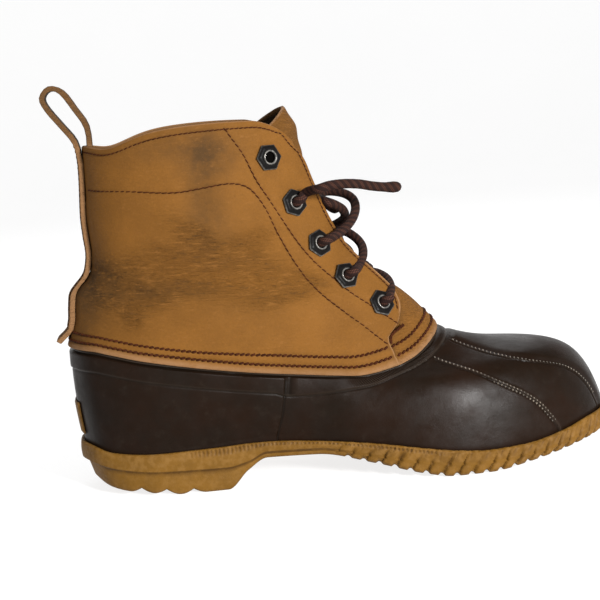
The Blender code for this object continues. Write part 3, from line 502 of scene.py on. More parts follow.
def tube_grid(route, radius, sides, swell=None):
    """Rings of a round tube carried along a route, each square to it, without twist."""
    along = np.gradient(route, axis=0)
    along /= np.linalg.norm(along, axis=1, keepdims=True)
    across = np.zeros(route.shape)
    guess = np.cross(along[0], (0.0, 0.0, 1.0))
    if np.linalg.norm(guess) < 0.1:
        guess = np.cross(along[0], (0.0, 1.0, 0.0))
    for k in range(len(route)):
        guess = guess - along[k] * np.dot(guess, along[k])
        guess = guess / np.linalg.norm(guess)
        across[k] = guess
    up = np.cross(across, along)
    turn = np.arange(sides)[None, :, None] * 2.0 * np.pi / sides
    radius = np.broadcast_to(radius, (len(route),))[:, None, None]
    if swell is not None:
        radius = radius + swell[..., None]
    return route[:, None] + radius * (np.cos(turn) * across[:, None] + np.sin(turn) * up[:, None])


def tube_faces(rings, sides, start=0):
    """Faces of a tube with both ends closed."""
    ends = np.arange(sides)
    return [
        quads(rings, sides, start, wrap_columns=True),
        (start + ends[::-1])[None, :],
        (start + (rings - 1) * sides + ends)[None, :],
    ]


def nearest_way(points, line):
    """Least distance from each point to a line's own points, worked out as one table."""
    flat = points.reshape(-1, 3)
    squares = (flat ** 2).sum(1)[:, None] + (line ** 2).sum(1)[None, :] - 2.0 * flat @ line.T
    return np.sqrt(np.maximum(squares.min(axis=1), 0.0)).reshape(points.shape[:-1])


# Node helpers and shared groups

def feed(tree, socket, value):
    """Links another node's result to a socket, or sets it to a plain value."""
    if isinstance(value, bpy.types.NodeSocket):
        tree.links.new(value, socket)
    else:
        socket.default_value = value


def add_node(tree, kind, links=None, **settings):
    """Adds a shader node, sets its options, and sets or links its named inputs."""
    made = tree.nodes.new(kind)
    for option, value in settings.items():
        setattr(made, option, value)
    for socket, value in (links or {}).items():
        feed(tree, made.inputs[socket], value)
    return made


def maths(tree, operation, *values, clamp=False):
    """A math node's result."""
    made = add_node(tree, "ShaderNodeMath", operation=operation, use_clamp=clamp)
    for socket, value in zip(made.inputs, values):
        feed(tree, socket, value)
    return made.outputs[0]


def times(tree, first, second, clamp=False):
    """The product of two values."""
    return maths(tree, "MULTIPLY", first, second, clamp=clamp)


def plus(tree, first, second, clamp=False):
    """The sum of two values."""
    return maths(tree, "ADD", first, second, clamp=clamp)


def blend_colour(tree, share, first, second):
    """A colour between two, by a share."""
    made = add_node(tree, "ShaderNodeMix", data_type="RGBA", blend_type="MIX")
    for index, value in ((0, share), (6, first), (7, second)):
        feed(tree, made.inputs[index], value)
    return made.outputs[2]


def span(tree, value, low, high, to_low=0.0, to_high=1.0):
    """A value's share between two limits, mapped smoothly to two others."""
    made = add_node(tree, "ShaderNodeMapRange", {
        "From Min": low, "From Max": high, "To Min": to_low, "To Max": to_high,
    }, interpolation_type="SMOOTHSTEP")
    tree.links.new(value, made.inputs["Value"])
    return made.outputs["Result"]


def mark_of(tree, name):
    """A value kept at the mesh's points."""
    made = add_node(tree, "ShaderNodeAttribute", attribute_name=name, attribute_type="GEOMETRY")
    return made.outputs["Fac"]


def noise(tree, position, scale, detail=3.0, roughness=0.55, stretch=None):
    """Noise at a scale in points a metre, stretched if asked."""
    if stretch is not None:
        position = add_node(tree, "ShaderNodeMapping", {"Vector": position, "Scale": stretch}).outputs[0]
    return add_node(tree, "ShaderNodeTexNoise", {
        "Vector": position, "Scale": scale, "Detail": detail, "Roughness": roughness,
    }).outputs["Fac"]


def open_group(name, inputs, outputs):
    """A shader node group with named sockets; gives the group, its inputs and its output node."""
    group = bpy.data.node_groups.new(name, "ShaderNodeTree")
    for socket, kind, value in inputs:
        made = group.interface.new_socket(socket, in_out="INPUT", socket_type=kind)
        if value is not None:
            made.default_value = value
    for socket, kind in outputs:
        group.interface.new_socket(socket, in_out="OUTPUT", socket_type=kind)
    return group, group.nodes.new("NodeGroupInput").outputs, group.nodes.new("NodeGroupOutput").inputs


def make_grain_group():
    """Leather and rubber grain: coarse and fine noise added, as a height from 0 to 1."""
    group, given, out = open_group("surface_grain", (
        ("Position", "NodeSocketVector", None),
        ("Scale", "NodeSocketFloat", 900.0),
        ("Fine Share", "NodeSocketFloat", 0.4),
    ), (("Height", "NodeSocketFloat"),))
    coarse = noise(group, given["Position"], given["Scale"], 4.0, 0.5)
    fine = noise(group, given["Position"], times(group, given["Scale"], 4.3), 2.0, 0.5)
    rest = maths(group, "SUBTRACT", 1.0, given["Fine Share"])
    total = plus(group, times(group, coarse, rest), times(group, fine, given["Fine Share"]))
    group.links.new(total, out["Height"])
    return group


def make_mottle_group():
    """Uneven colour: two colours mixed by soft patches and by small specks."""
    group, given, out = open_group("uneven_colour", (
        ("Position", "NodeSocketVector", None),
        ("Light", "NodeSocketColor", (1.0, 1.0, 1.0, 1.0)),
        ("Dark", "NodeSocketColor", (0.0, 0.0, 0.0, 1.0)),
        ("Scale", "NodeSocketFloat", 40.0),
        ("Specks", "NodeSocketFloat", 0.2),
    ), (("Color", "NodeSocketColor"),))
    patch = span(group, noise(group, given["Position"], given["Scale"], 5.0, 0.6), 0.32, 0.68)
    speck = noise(group, given["Position"], times(group, given["Scale"], 22.0), 3.0, 0.5)
    speck = times(group, maths(group, "SUBTRACT", speck, 0.5), given["Specks"])
    share = plus(group, patch, times(group, speck, 4.0), clamp=True)
    group.links.new(blend_colour(group, share, given["Light"], given["Dark"]), out["Color"])
    return group


def make_braid_group():
    """Round braid: strands that cross in two spirals, from the way along the cord and round it.

    Each spiral is a wave of the turn plus or minus the way along. Their product gives the height,
    and a slower wave along one of them picks the strands that are flecked.
    """
    group, given, out = open_group("round_braid", (
        ("Along", "NodeSocketFloat", 0.0),
        ("Turn", "NodeSocketFloat", 0.0),
        ("Strands", "NodeSocketFloat", 6.0),
        ("Pitch", "NodeSocketFloat", 1.0),
    ), (("Height", "NodeSocketFloat"), ("Fleck", "NodeSocketFloat")))
    way = times(group, given["Along"], given["Pitch"])
    turn = times(group, given["Turn"], given["Strands"])
    right = maths(group, "SINE", plus(group, turn, way))
    left = maths(group, "SINE", maths(group, "SUBTRACT", turn, way))
    crossed = maths(group, "ABSOLUTE", times(group, right, left))
    slow = plus(group, times(group, turn, 0.5), times(group, way, 0.5))
    rising = span(group, maths(group, "SINE", slow), 0.1, 0.4)
    raised = span(group, crossed, 0.2, 0.6)
    group.links.new(maths(group, "POWER", crossed, 0.4), out["Height"])
    group.links.new(times(group, rising, raised), out["Fleck"])
    return group


GROUP_MAKERS = {
    "surface_grain": make_grain_group, "uneven_colour": make_mottle_group, "round_braid": make_braid_group,
}


def shared_group(name):
    """A shared node group, made once."""
    return bpy.data.node_groups.get(name) or GROUP_MAKERS[name]()


def place_group(tree, name, links):
    """Places a shared group in a material with its own values, and gives its outputs."""
    made = tree.nodes.new("ShaderNodeGroup")
    made.node_tree = shared_group(name)
    for socket, value in links.items():
        feed(tree, made.inputs[socket], value)
    return made.outputs


def start_material(name, roughness, specular):
    """A material with its shader's plain values; gives its tree, shader and object coordinates."""
    material = bpy.data.materials.new(name)
    material.use_nodes = True
    tree = material.node_tree
    shader = tree.nodes["Principled BSDF"]
    shader.inputs["Roughness"].default_value = roughness
    shader.inputs["Specular IOR Level"].default_value = specular
    position = tree.nodes.new("ShaderNodeTexCoord").outputs["Object"]
    return material, tree, shader, position


def mottled_colour(tree, shader, position, light, dark, scale, specks):
    """Two mottled colours as the material's own; gives the colour to go on from."""
    mottle = place_group(tree, "uneven_colour", {
        "Position": position, "Light": opaque(light), "Dark": opaque(dark), "Scale": scale, "Specks": specks,
    })
    tree.links.new(mottle["Color"], shader.inputs["Base Color"])
    return mottle["Color"]


def add_bump(tree, shader, height, depth, strength=1.0, before=None):
    """Bump of a height from 0 to 1 that stands for a depth in metres, on top of another bump or not."""
    made = add_node(tree, "ShaderNodeBump", {"Height": height, "Strength": strength, "Distance": depth})
    if before is not None:
        tree.links.new(before, made.inputs["Normal"])
    tree.links.new(made.outputs["Normal"], shader.inputs["Normal"])
    return made.outputs["Normal"]


def opaque(colour):
    """A colour with its alpha."""
    return (*colour, 1.0)


def scaled(colour, share, more=0.0):
    """A colour made lighter or darker."""
    return [share * value + more for value in colour]


# Settings that a user would change

def colour_setting(name, description, default):
    """A colour setting."""
    return bpy.props.FloatVectorProperty(
        name=name, description=description, default=default, subtype="COLOR", size=3, min=0.0, max=1.0,
    )


class BootColours(bpy.types.PropertyGroup):
    """Colours of the boot's materials."""

    leather: colour_setting("Leather", "Tan leather in good light", (0.1330, 0.0545, 0.0088))
    # Browner leather, also the painted shade of creases, seams, the back and the top under the hand
    leather_brown_and_shade: colour_setting("Browner and shaded leather", "Browner leather and painted shade", (0.0500, 0.0245, 0.0075))
    leather_edge: colour_setting("Cut edge", "Raw cut edge of the leather", (0.1850, 0.0960, 0.0420))
    leather_inside: colour_setting("Leather inside", "Flesh side of the leather", (0.0196, 0.0119, 0.0056))
    rubber: colour_setting("Brown rubber", "Moulded rubber bottom", (0.0066, 0.0038, 0.0022))
    gum: colour_setting("Gum rubber", "Sole", (0.1200, 0.0560, 0.0075))
    gum_soil_and_shade: colour_setting("Soiled and shaded gum", "Grooves of the sole", (0.036, 0.0156, 0.0033))
    thread: colour_setting("Thread", "Stitches", (0.0200, 0.0048, 0.0012))
    lace: colour_setting("Lace", "Braided lace", (0.0093, 0.003596, 0.002604))
    lace_fleck: colour_setting("Lace fleck", "Lighter strands in the lace", (0.075, 0.029, 0.017))
    enamel: colour_setting("Eyelet enamel", "Dark enamel on the eyelets", (0.0045, 0.0042, 0.0040))
    steel: colour_setting("Eyelet steel", "Bare metal on the eyelets", (0.36, 0.34, 0.31))
    felt: colour_setting("Footbed felt", "Footbed inside the boot", (0.07, 0.0455, 0.028))


def size_setting(name, description, millimetres):
    """A size setting."""
    return bpy.props.FloatProperty(
        name=name, description=description, default=millimetres * MM, unit="LENGTH", precision=5,
    )


class BootSizes(bpy.types.PropertyGroup):
    """Sizes of the boot's small detail."""

    stitch_pitch: size_setting("Stitch pitch", "Distance between stitches of the lower rows", 2.7)
    thread_width: size_setting("Thread width", "Width of the lower rows' thread", 1.25)
    fine_thread_width: size_setting("Fine thread width", "Width of the other rows' thread", 0.62)
    wrinkle_depth: size_setting("Leather wrinkles", "Depth of the leather's fine wrinkles", 1.1)
    grain_depth: size_setting("Leather grain", "Depth of the leather's grain", 0.16)


def colours():
    """The colour settings."""
    return bpy.context.scene.boot_colours


def sizes():
    """The size settings."""
    return bpy.context.scene.boot_sizes


# Materials of the boot

def leather_material():
    """Tan nubuck: mottled colour, browner with painted shade by the shade mark, painted shade in the
    wrinkles' hollows and the grooves, painted highlight on the wrinkles' crests, raw at cut edges, rough
    inside.
    """
    material, tree, shader, position = start_material("tan_nubuck", 0.72, 0.09)
    paint = colours()
    colour = mottled_colour(tree, shader, position, paint.leather, scaled(paint.leather, 0.84), 42.0, 0.45)
    cloud = noise(tree, position, 120.0, 8.0, 0.72)
    shade = times(tree, mark_of(tree, "shade"), span(tree, cloud, 0.28, 0.70, 0.6, 1.35), clamp=True)
    wrinkled = mark_of(tree, "wrinkle")
    lines = noise(tree, position, 250.0, 7.0, 0.68, (0.5, 1.0, 2.8))
    # Painted shade in the wrinkles' hollows and painted highlight on their crests
    hollow_shade = times(tree, span(tree, lines, 0.56, 0.64), wrinkled)
    crests = times(tree, span(tree, lines, 0.36, 0.46, 1.0, 0.0), wrinkled)
    rub = span(tree, noise(tree, position, 330.0, 8.0, 0.75, (0.8, 1.0, 1.9)), 0.54, 0.72)
    pale = times(tree, mark_of(tree, "pale"), span(tree, cloud, 0.3, 0.6, 0.5, 1.0))
    # The shade mark gives browner tone and painted shade; the hollows and the groove mark give painted shade,
    # the crests a painted highlight
    for share, other in (
        (plus(tree, shade, times(tree, hollow_shade, 0.42), clamp=True), paint.leather_brown_and_shade),
        (times(tree, rub, 0.4), scaled(paint.leather, 1.3, 0.012)),
        (times(tree, crests, 0.55), scaled(paint.leather, 1.45, 0.006)),
        (pale, paint.leather_edge),
        (times(tree, mark_of(tree, "groove"), 0.55), paint.leather_brown_and_shade),
        (mark_of(tree, "edge"), paint.leather_edge),
        (mark_of(tree, "inside"), paint.leather_inside),
    ):
        colour = blend_colour(tree, share, colour, opaque(other))
    tree.links.new(colour, shader.inputs["Base Color"])
    grain = place_group(tree, "surface_grain", {"Position": position, "Scale": 1150.0, "Fine Share": 0.45})
    wrinkle = noise(tree, position, 300.0, 6.0, 0.62, (0.5, 1.0, 2.3))
    wrinkle = times(tree, wrinkle, maths(tree, "MULTIPLY_ADD", wrinkled, 2.6, 0.35))
    folds = add_bump(tree, shader, wrinkle, sizes().wrinkle_depth)
    add_bump(tree, shader, grain["Height"], sizes().grain_depth * 1.8, before=folds)
    tree.links.new(span(tree, grain["Height"], 0.3, 0.7, 0.66, 0.84), shader.inputs["Roughness"])
    return material


RUBBER_DUST = (0.035, 0.0273, 0.0203)
# Painted shade for the rubber's grooves, wear with painted highlight for its ridges, painted highlight for
# its knurl crests
RUBBER_GROOVE_SHADE = (0.004, 0.003, 0.002)
RUBBER_WEAR_AND_HIGHLIGHT = (0.075, 0.058, 0.043)
RUBBER_KNURL_HIGHLIGHT = (0.060, 0.045, 0.033)
RUBBER_INSIDE = (0.015, 0.011, 0.008)


def rubber_material():
    """Dark brown moulded rubber: slight dust, fine grain, knurled band and soft lumps, with painted shade in
    its grooves and seams and painted highlight on its lip, ridges and knurl crests.
    """
    material, tree, shader, position = start_material("brown_moulded_rubber", 0.42, 0.05)
    shader.inputs["Coat Roughness"].default_value = 0.38
    rubber = colours().rubber
    redder = (rubber[0] * 1.35, rubber[1] * 1.05, rubber[2] * 0.9)
    colour = mottled_colour(tree, shader, position, rubber, redder, 28.0, 0.12)
    dust = span(tree, noise(tree, position, 180.0, 8.0, 0.7), 0.52, 0.75)
    knurl = maths(tree, "SINE", times(tree, mark_of(tree, "along"), 5.6))
    knurl = times(tree, times(tree, knurl, mark_of(tree, "knurl")), 0.9)
    for share, other in (
        (times(tree, dust, 0.12), RUBBER_DUST),
        (times(tree, mark_of(tree, "groove"), 0.8), RUBBER_GROOVE_SHADE),
        (times(tree, mark_of(tree, "worn"), 0.45), RUBBER_WEAR_AND_HIGHLIGHT),
        (times(tree, knurl, 0.5, clamp=True), RUBBER_KNURL_HIGHLIGHT),
        (mark_of(tree, "inside"), RUBBER_INSIDE),
    ):
        colour = blend_colour(tree, share, colour, opaque(other))
    tree.links.new(colour, shader.inputs["Base Color"])
    grain = place_group(tree, "surface_grain", {"Position": position, "Scale": 1500.0, "Fine Share": 0.4})
    lumps = noise(tree, position, 140.0, 4.0, 0.5)
    height = plus(tree, times(tree, grain["Height"], 0.35), lumps)
    add_bump(tree, shader, plus(tree, height, times(tree, knurl, 3.0)), 0.22 * MM, 0.8)
    rough = span(tree, noise(tree, position, 75.0, 6.0, 0.65), 0.3, 0.7, 0.27, 0.42)
    tree.links.new(rough, shader.inputs["Roughness"])
    tree.links.new(span(tree, lumps, 0.3, 0.7, 0.0, 0.04), shader.inputs["Coat Weight"])
    return material


GUM_WORN = (0.196, 0.105, 0.0315)


def gum_material():
    """Caramel gum rubber: grooves and cuts darkened by soil and painted shade, paler worn crests, fine
    moulded grain.
    """
    material, tree, shader, position = start_material("gum_sole_rubber", 0.55, 0.09)
    paint = colours()
    colour = mottled_colour(tree, shader, position, paint.gum, scaled(paint.gum, 0.78), 60.0, 0.25)
    soil = span(tree, noise(tree, position, 240.0, 5.0), 0.25, 0.6, 0.55, 1.0)
    worn = times(tree, mark_of(tree, "worn"), span(tree, noise(tree, position, 330.0, 6.0), 0.4, 0.65))
    dirt = span(tree, noise(tree, position, 120.0, 8.0, 0.72), 0.60, 0.80)
    for share, other in (
        # The groove mark darkens cuts, ribs, tread grooves and the ledge's shadow: soil and painted shade
        (times(tree, mark_of(tree, "groove"), soil), paint.gum_soil_and_shade),
        (times(tree, worn, 0.6), GUM_WORN),
        (times(tree, dirt, 0.45), paint.gum_soil_and_shade),
    ):
        colour = blend_colour(tree, share, colour, opaque(other))
    tree.links.new(colour, shader.inputs["Base Color"])
    grain = place_group(tree, "surface_grain", {"Position": position, "Scale": 800.0, "Fine Share": 0.35})
    add_bump(tree, shader, grain["Height"], 0.25 * MM, 0.8)
    tree.links.new(span(tree, grain["Height"], 0.3, 0.7, 0.46, 0.66), shader.inputs["Roughness"])
    return material


def thread_material():
    """Dark waxed thread with a twist."""
    material, tree, shader, position = start_material("waxed_thread", 0.6, 0.06)
    thread = colours().thread
    mottled_colour(tree, shader, position, thread, scaled(thread, 2.1), 400.0, 0.3)
    add_bump(tree, shader, noise(tree, position, 3500.0, 2.0), 0.15 * MM, 0.7)
    return material


MOULDED_PALE = (0.125, 0.100, 0.074)
MOULDED_DARK = (0.028, 0.020, 0.013)


def mould_stitch_material():
    """Pale stitches moulded on the rubber toe."""
    material, tree, shader, position = start_material("moulded_stitches", 0.5, 0.5)
    mottled_colour(tree, shader, position, MOULDED_PALE, MOULDED_DARK, 90.0, 0.4)
    return material


# Painted shade between the braid's strands
BRAID_GAP_SHADE = (0.008, 0.005, 0.004)


def braid_material():
    """Round braided lace, dark brown with tan flecks and painted shade between its strands, from its own way
    along and round.
    """
    material, tree, shader, position = start_material("braided_lace", 0.78, 0.12)
    lay = add_node(tree, "ShaderNodeAttribute", attribute_name="lay", attribute_type="GEOMETRY")
    parts = add_node(tree, "ShaderNodeSeparateXYZ", {"Vector": lay.outputs["Vector"]}).outputs
    braid = place_group(tree, "round_braid", {
        "Along": parts["X"], "Turn": maths(tree, "ARCTAN2", parts["Z"], parts["Y"]),
        "Strands": BRAID_STRANDS, "Pitch": BRAID_PITCH,
    })
    fuzz = noise(tree, position, 2500.0, 3.0)
    paint = colours()
    colour = opaque(paint.lace)
    for share, other in (
        (span(tree, fuzz, 0.3, 0.7), scaled(paint.lace, 1.8)),
        (times(tree, braid["Fleck"], 0.62), paint.lace_fleck),
        (span(tree, braid["Height"], 0.0, 0.45, 0.75, 0.0), BRAID_GAP_SHADE),
    ):
        colour = blend_colour(tree, share, colour, opaque(other))
    tree.links.new(colour, shader.inputs["Base Color"])
    add_bump(tree, shader, plus(tree, braid["Height"], times(tree, fuzz, 0.5)), 0.30 * MM, 0.9)
    return material


# Painted shade inside the eyelet's hole, where the leather under it is not pierced
EYELET_HOLE_SHADE = (0.0012, 0.001, 0.0008)


def eyelet_material():
    """Black enamel, worn through to bare steel on its ridges, with painted shade in the hole and a painted
    glint on one side of the flange's rim.
    """
    material, tree, shader, position = start_material("eyelet_enamel", 0.30, 0.03)
    paint = colours()
    hole = mark_of(tree, "hole")
    scrape = span(tree, noise(tree, position, 700.0, 5.0, 0.65), 0.35, 0.65, 0.35, 1.2)
    bare = times(tree, mark_of(tree, "worn"), scrape, clamp=True)
    colour = blend_colour(tree, bare, opaque(paint.enamel), opaque(paint.steel))
    tree.links.new(blend_colour(tree, hole, colour, opaque(EYELET_HOLE_SHADE)), shader.inputs["Base Color"])
    tree.links.new(bare, shader.inputs["Metallic"])
    rough = span(tree, noise(tree, position, 1300.0, 3.0), 0.3, 0.7, 0.26, 0.42)
    tree.links.new(plus(tree, rough, hole, clamp=True), shader.inputs["Roughness"])
    add_bump(tree, shader, noise(tree, position, 1800.0, 3.0), 0.05 * MM, 0.6)
    return material


def felt_material():
    """Brown felt of the footbed."""
    material, tree, shader, position = start_material("footbed_felt", 0.92, 0.1)
    mottled_colour(tree, shader, position, colours().felt, scaled(colours().felt, 0.6), 70.0, 0.6)
    add_bump(tree, shader, noise(tree, position, 1400.0, 5.0, 0.7), 0.5 * MM, 0.9)
    return material


FLOOR_LIGHT = (0.28, 0.28, 0.28)
FLOOR_DARK = (0.27, 0.27, 0.27)
FLOOR_GLOW = 0.80
WHITE = (1.0, 1.0, 1.0, 1.0)


def floor_material():
    """Plain pale floor with the faintest unevenness."""
    material, tree, shader, position = start_material("pale_floor", 0.85, 0.1)
    mottled_colour(tree, shader, position, FLOOR_LIGHT, FLOOR_DARK, 3.0, 0.0)
    shader.inputs["Emission Color"].default_value = WHITE
    shader.inputs["Emission Strength"].default_value = FLOOR_GLOW
    return material


MATERIAL_MAKERS = {
    "leather": leather_material, "rubber": rubber_material, "gum": gum_material,
    "thread": thread_material, "moulded": mould_stitch_material, "braid": braid_material,
    "eyelet": eyelet_material, "felt": felt_material, "floor": floor_material,
}
MATERIALS = {}


def finish(name):
    """A finish of the boot, made once."""
    if name not in MATERIALS:
        MATERIALS[name] = MATERIAL_MAKERS[name]()
    return MATERIALS[name]


# Camera, floor and lights

CAMERA_FROM = (49.875, -686.222, 200.0)
CAMERA_LOOK = (122.0, 0.0, 91.0)
CAMERA_ROLL = 3.85
FOCAL_PIXELS = 1301.0
PHOTO_PIXELS = 600.0
SENSOR = 36.0
FLOOR_FLAT = 2.2
FLOOR_REACH = 3.6
FLOOR_RISE = 1.8
FLOOR_SIDES = 72
SKY_STRENGTH = 0.20
LAMP_AIM = (0.0, 0.0, 0.08)

LAMPS = table("name x y z size power", (
    ("key_light", 0.54, -1.10, 0.43, 0.20, 34.0),
    ("fill_light", -0.70, -0.95, 0.85, 1.0, 1.6),
    ("top_light", 0.05, -0.20, 1.30, 0.8, 3.2),
    ("back_light", 0.10, 0.95, 0.95, 1.0, 6.0),
))


def make_camera():
    """Camera at the photo's angle to the boot, rolled as there."""
    data = bpy.data.cameras.new("photo_camera")
    data.sensor_width = SENSOR
    data.lens = SENSOR * FOCAL_PIXELS / PHOTO_PIXELS
    data.clip_start = 0.01
    data.clip_end = 20.0
    data.dof.use_dof = False
    camera = bpy.data.objects.new("photo_camera", data)
    bpy.context.scene.collection.objects.link(camera)
    place = np.array(CAMERA_FROM)
    ahead = np.array(CAMERA_LOOK) - place
    ahead = ahead / np.linalg.norm(ahead)
    level_right = np.cross(ahead, (0.0, 0.0, 1.0))
    level_right = level_right / np.linalg.norm(level_right)
    level_up = np.cross(level_right, ahead)
    roll = np.radians(CAMERA_ROLL)
    right = level_right * np.cos(roll) - level_up * np.sin(roll)
    up = level_right * np.sin(roll) + level_up * np.cos(roll)
    turn = Matrix(np.stack([right, up, -ahead], axis=1).tolist()).to_4x4()
    camera.matrix_world = Matrix.Translation(to_metres(place)) @ turn
    bpy.context.scene.camera = camera


def make_floor():
    """Round pale floor that curves up far away: a profile turned round the Z axis."""
    flat = np.linspace(0.05, FLOOR_FLAT, 14)
    bend = np.linspace(0.0, np.pi / 2.0, 12)[1:]
    radius = np.concatenate([flat, FLOOR_FLAT + (FLOOR_REACH - FLOOR_FLAT) * np.sin(bend)])
    height = np.concatenate([np.zeros(len(flat)), FLOOR_RISE * (1.0 - np.cos(bend))])
    turn = np.arange(FLOOR_SIDES) * 2.0 * np.pi / FLOOR_SIDES
    points = np.stack([
        radius[:, None] * np.cos(turn), radius[:, None] * np.sin(turn),
        np.broadcast_to(height[:, None], (len(radius), FLOOR_SIDES)),
    ], axis=-1)
    faces = quads(len(radius), FLOOR_SIDES, wrap_columns=True)[:, ::-1].tolist() + [list(range(FLOOR_SIDES))]
    mesh = bpy.data.meshes.new("pale_floor")
    mesh.from_pydata(points.reshape(-1, 3).tolist(), [], faces)
    mesh.shade_smooth()
    floor = bpy.data.objects.new("pale_floor", mesh)
    bpy.context.scene.collection.objects.link(floor)
    mesh.materials.append(finish("floor"))


def make_lamps():
    """Large soft area lamps that face the boot, and pale light from all round."""
    for row in LAMPS:
        data = bpy.data.lights.new(row.name, "AREA")
        data.shape = "DISK"
        data.size = row.size
        data.energy = row.power
        lamp = bpy.data.objects.new(row.name, data)
        bpy.context.scene.collection.objects.link(lamp)
        place = Vector((row.x, row.y, row.z))
        aim = (Vector(LAMP_AIM) - place).to_track_quat("-Z", "Y")
        lamp.matrix_world = Matrix.Translation(place) @ aim.to_matrix().to_4x4()
    world = bpy.data.worlds.new("pale_surroundings")
    world.use_nodes = True
    background = world.node_tree.nodes["Background"].inputs
    background["Color"].default_value = WHITE
    background["Strength"].default_value = SKY_STRENGTH
    bpy.context.scene.world = world


# Sole

LUG_PITCH = 8.0
FOREFOOT_LUGS = 23
LUG_DEPTH = 3.2
HEEL_NOTCH = 2.4
HEEL_TUCK = 4.2
HEEL_TUCK_END_X = 26.0
FAN_FRONT_X = 274.0
FAN_BACK_X = 22.0
SOLE_STEP = 0.52
CUT_PHASE = 0.72
ROPE_SLANT = 0.8
ROPE_DEPTH = 1.3
ROPE_BULGE = 0.7
FINE_RIB_PITCH = 2.1
FINE_RIB_DEPTH = 0.55
HEEL_CUSPS = (49.5, 63.0, 77.0)
CUSP_WIDTH = 6.4
LUG_GROOVE_SHARE = 0.27
SOLE_LIP = 0.35

# Rows at the step of the sole's side: drop, way back at the ledge, share of the heel's tuck, and shadow
STEP_ROWS = ((-0.1, 0.1, 0.2, 0.7), (0.6, 0.7, 0.4, 0.8), (1.2, 0.75, 0.5, 0.45))
TREAD_SHARES = (0.12, 0.25, 0.38, 0.5, 0.62, 0.75, 0.88, 1.0)
TREAD_WAVE = 2.2
WAVE_BACK_X = 120.0
FAN_RISE = 1.2


def sole_ring(x, inner, inset, z, shift=0.0):
    """Places at a distance in from the sole's edge."""
    away = edge_normal(x, inner)
    y = edge_width(x, inner) - away[..., 1] * inset
    return np.stack([x - away[..., 0] * inset + shift, y, z], axis=-1)


def tread_profile(way, length):
    """Depth of the forefoot's and the heel's grooves at each way along the edge from the toe."""
    fore = way < FOREFOOT_LUGS * LUG_PITCH
    dip = np.clip(1.0 - np.abs((way / LUG_PITCH) % 1.0 - CUT_PHASE) / LUG_GROOVE_SHARE, 0.0, 1.0)
    lugs = smooth_step(0.0, 0.9, dip) * LUG_DEPTH * fore
    cusps = np.zeros(way.shape)
    for place in HEEL_CUSPS:
        cusps = cusps + np.clip(1.0 - np.abs(length - way - place) / CUSP_WIDTH, 0.0, 1.0)
    return lugs, cusps ** 1.7 * HEEL_NOTCH


def rope_relief(way, level):
    """Lumps of the forefoot's side: rounded bulges parted by slanted cuts that deepen downwards.

    level is the share of the way down the sole's side. Gives how far the side lies back, and its cuts.
    """
    stray = 0.07 * np.sin(way * 0.31) + 0.05 * np.sin(way * 0.83 + 1.3)
    turn = way / LUG_PITCH - ROPE_SLANT * (level - 1.0) + stray * (1.0 - level)
    turn = turn - CUT_PHASE + 0.5
    phase = turn % 1.0
    number = np.floor(turn)
    wide = 0.15 + 0.05 * np.sin(number * 2.4)
    cut = np.clip(1.0 - np.abs(phase - 0.5) / wide, 0.0, 1.0) ** 1.3
    cut = cut * smooth_step(0.05, 0.65, level + 0.12 * np.sin(number * 1.7))
    nick = np.clip(1.0 - np.abs((phase + 0.35) % 1.0 - 0.5) / 0.09, 0.0, 1.0)
    nick = nick * (1.0 - smooth_step(0.12, 0.42, level))
    return ROPE_DEPTH * cut + 0.45 * nick - ROPE_BULGE * bulge_of(phase), cut + 0.5 * nick


def bulge_of(phase):
    """Rounded height of a lump between two cuts at phase one half."""
    return 1.0 - np.abs(2.0 * ((phase + 0.5) % 1.0) - 1.0) ** 2.4


def sole_columns():
    """X, way along the edge from the toe, and side of each column round the sole; the edge's length."""
    outer_length = way_along(OUTER_LINE)
    count = int(outer_length[-1] / SOLE_STEP)
    way = np.linspace(0.0, outer_length[-1], count + 1)
    x = np.interp(way, outer_length, OUTER_LINE[:, 0])
    x = np.concatenate([x, x[-2:0:-1]])
    way = np.concatenate([way, way[-2:0:-1]])
    inner = np.concatenate([np.zeros(count + 1, bool), np.ones(count - 1, bool)])
    return x, way, inner, outer_length[-1]


def tread_rows(x, start, spine, groove):
    """Rows across the tread from its edge to the sole's middle line, with waves across the forefoot."""
    ground = read_table(SOLE, "ground", x, "x")
    middle = (x > FAN_BACK_X) & (x < FAN_FRONT_X)
    fan = np.where(middle, 0.0, 1.0)
    wave_side = TREAD_WAVE * (x > WAVE_BACK_X) * middle
    rows = []
    for share in TREAD_SHARES:
        early = share < 0.67
        wave = np.sin(np.pi * share * 2.0 * 0.75) if early else np.cos(np.pi * (share - 0.33) * 1.5)
        row = start * (1.0 - share) + spine * share
        row[:, 2] = (ground + groove) * (1.0 - fan * share) + (spine[:, 2] + FAN_RISE) * fan * share
        row[:, 0] += wave_side * wave * (1.0 - fan)
        rows.append(row)
    return rows


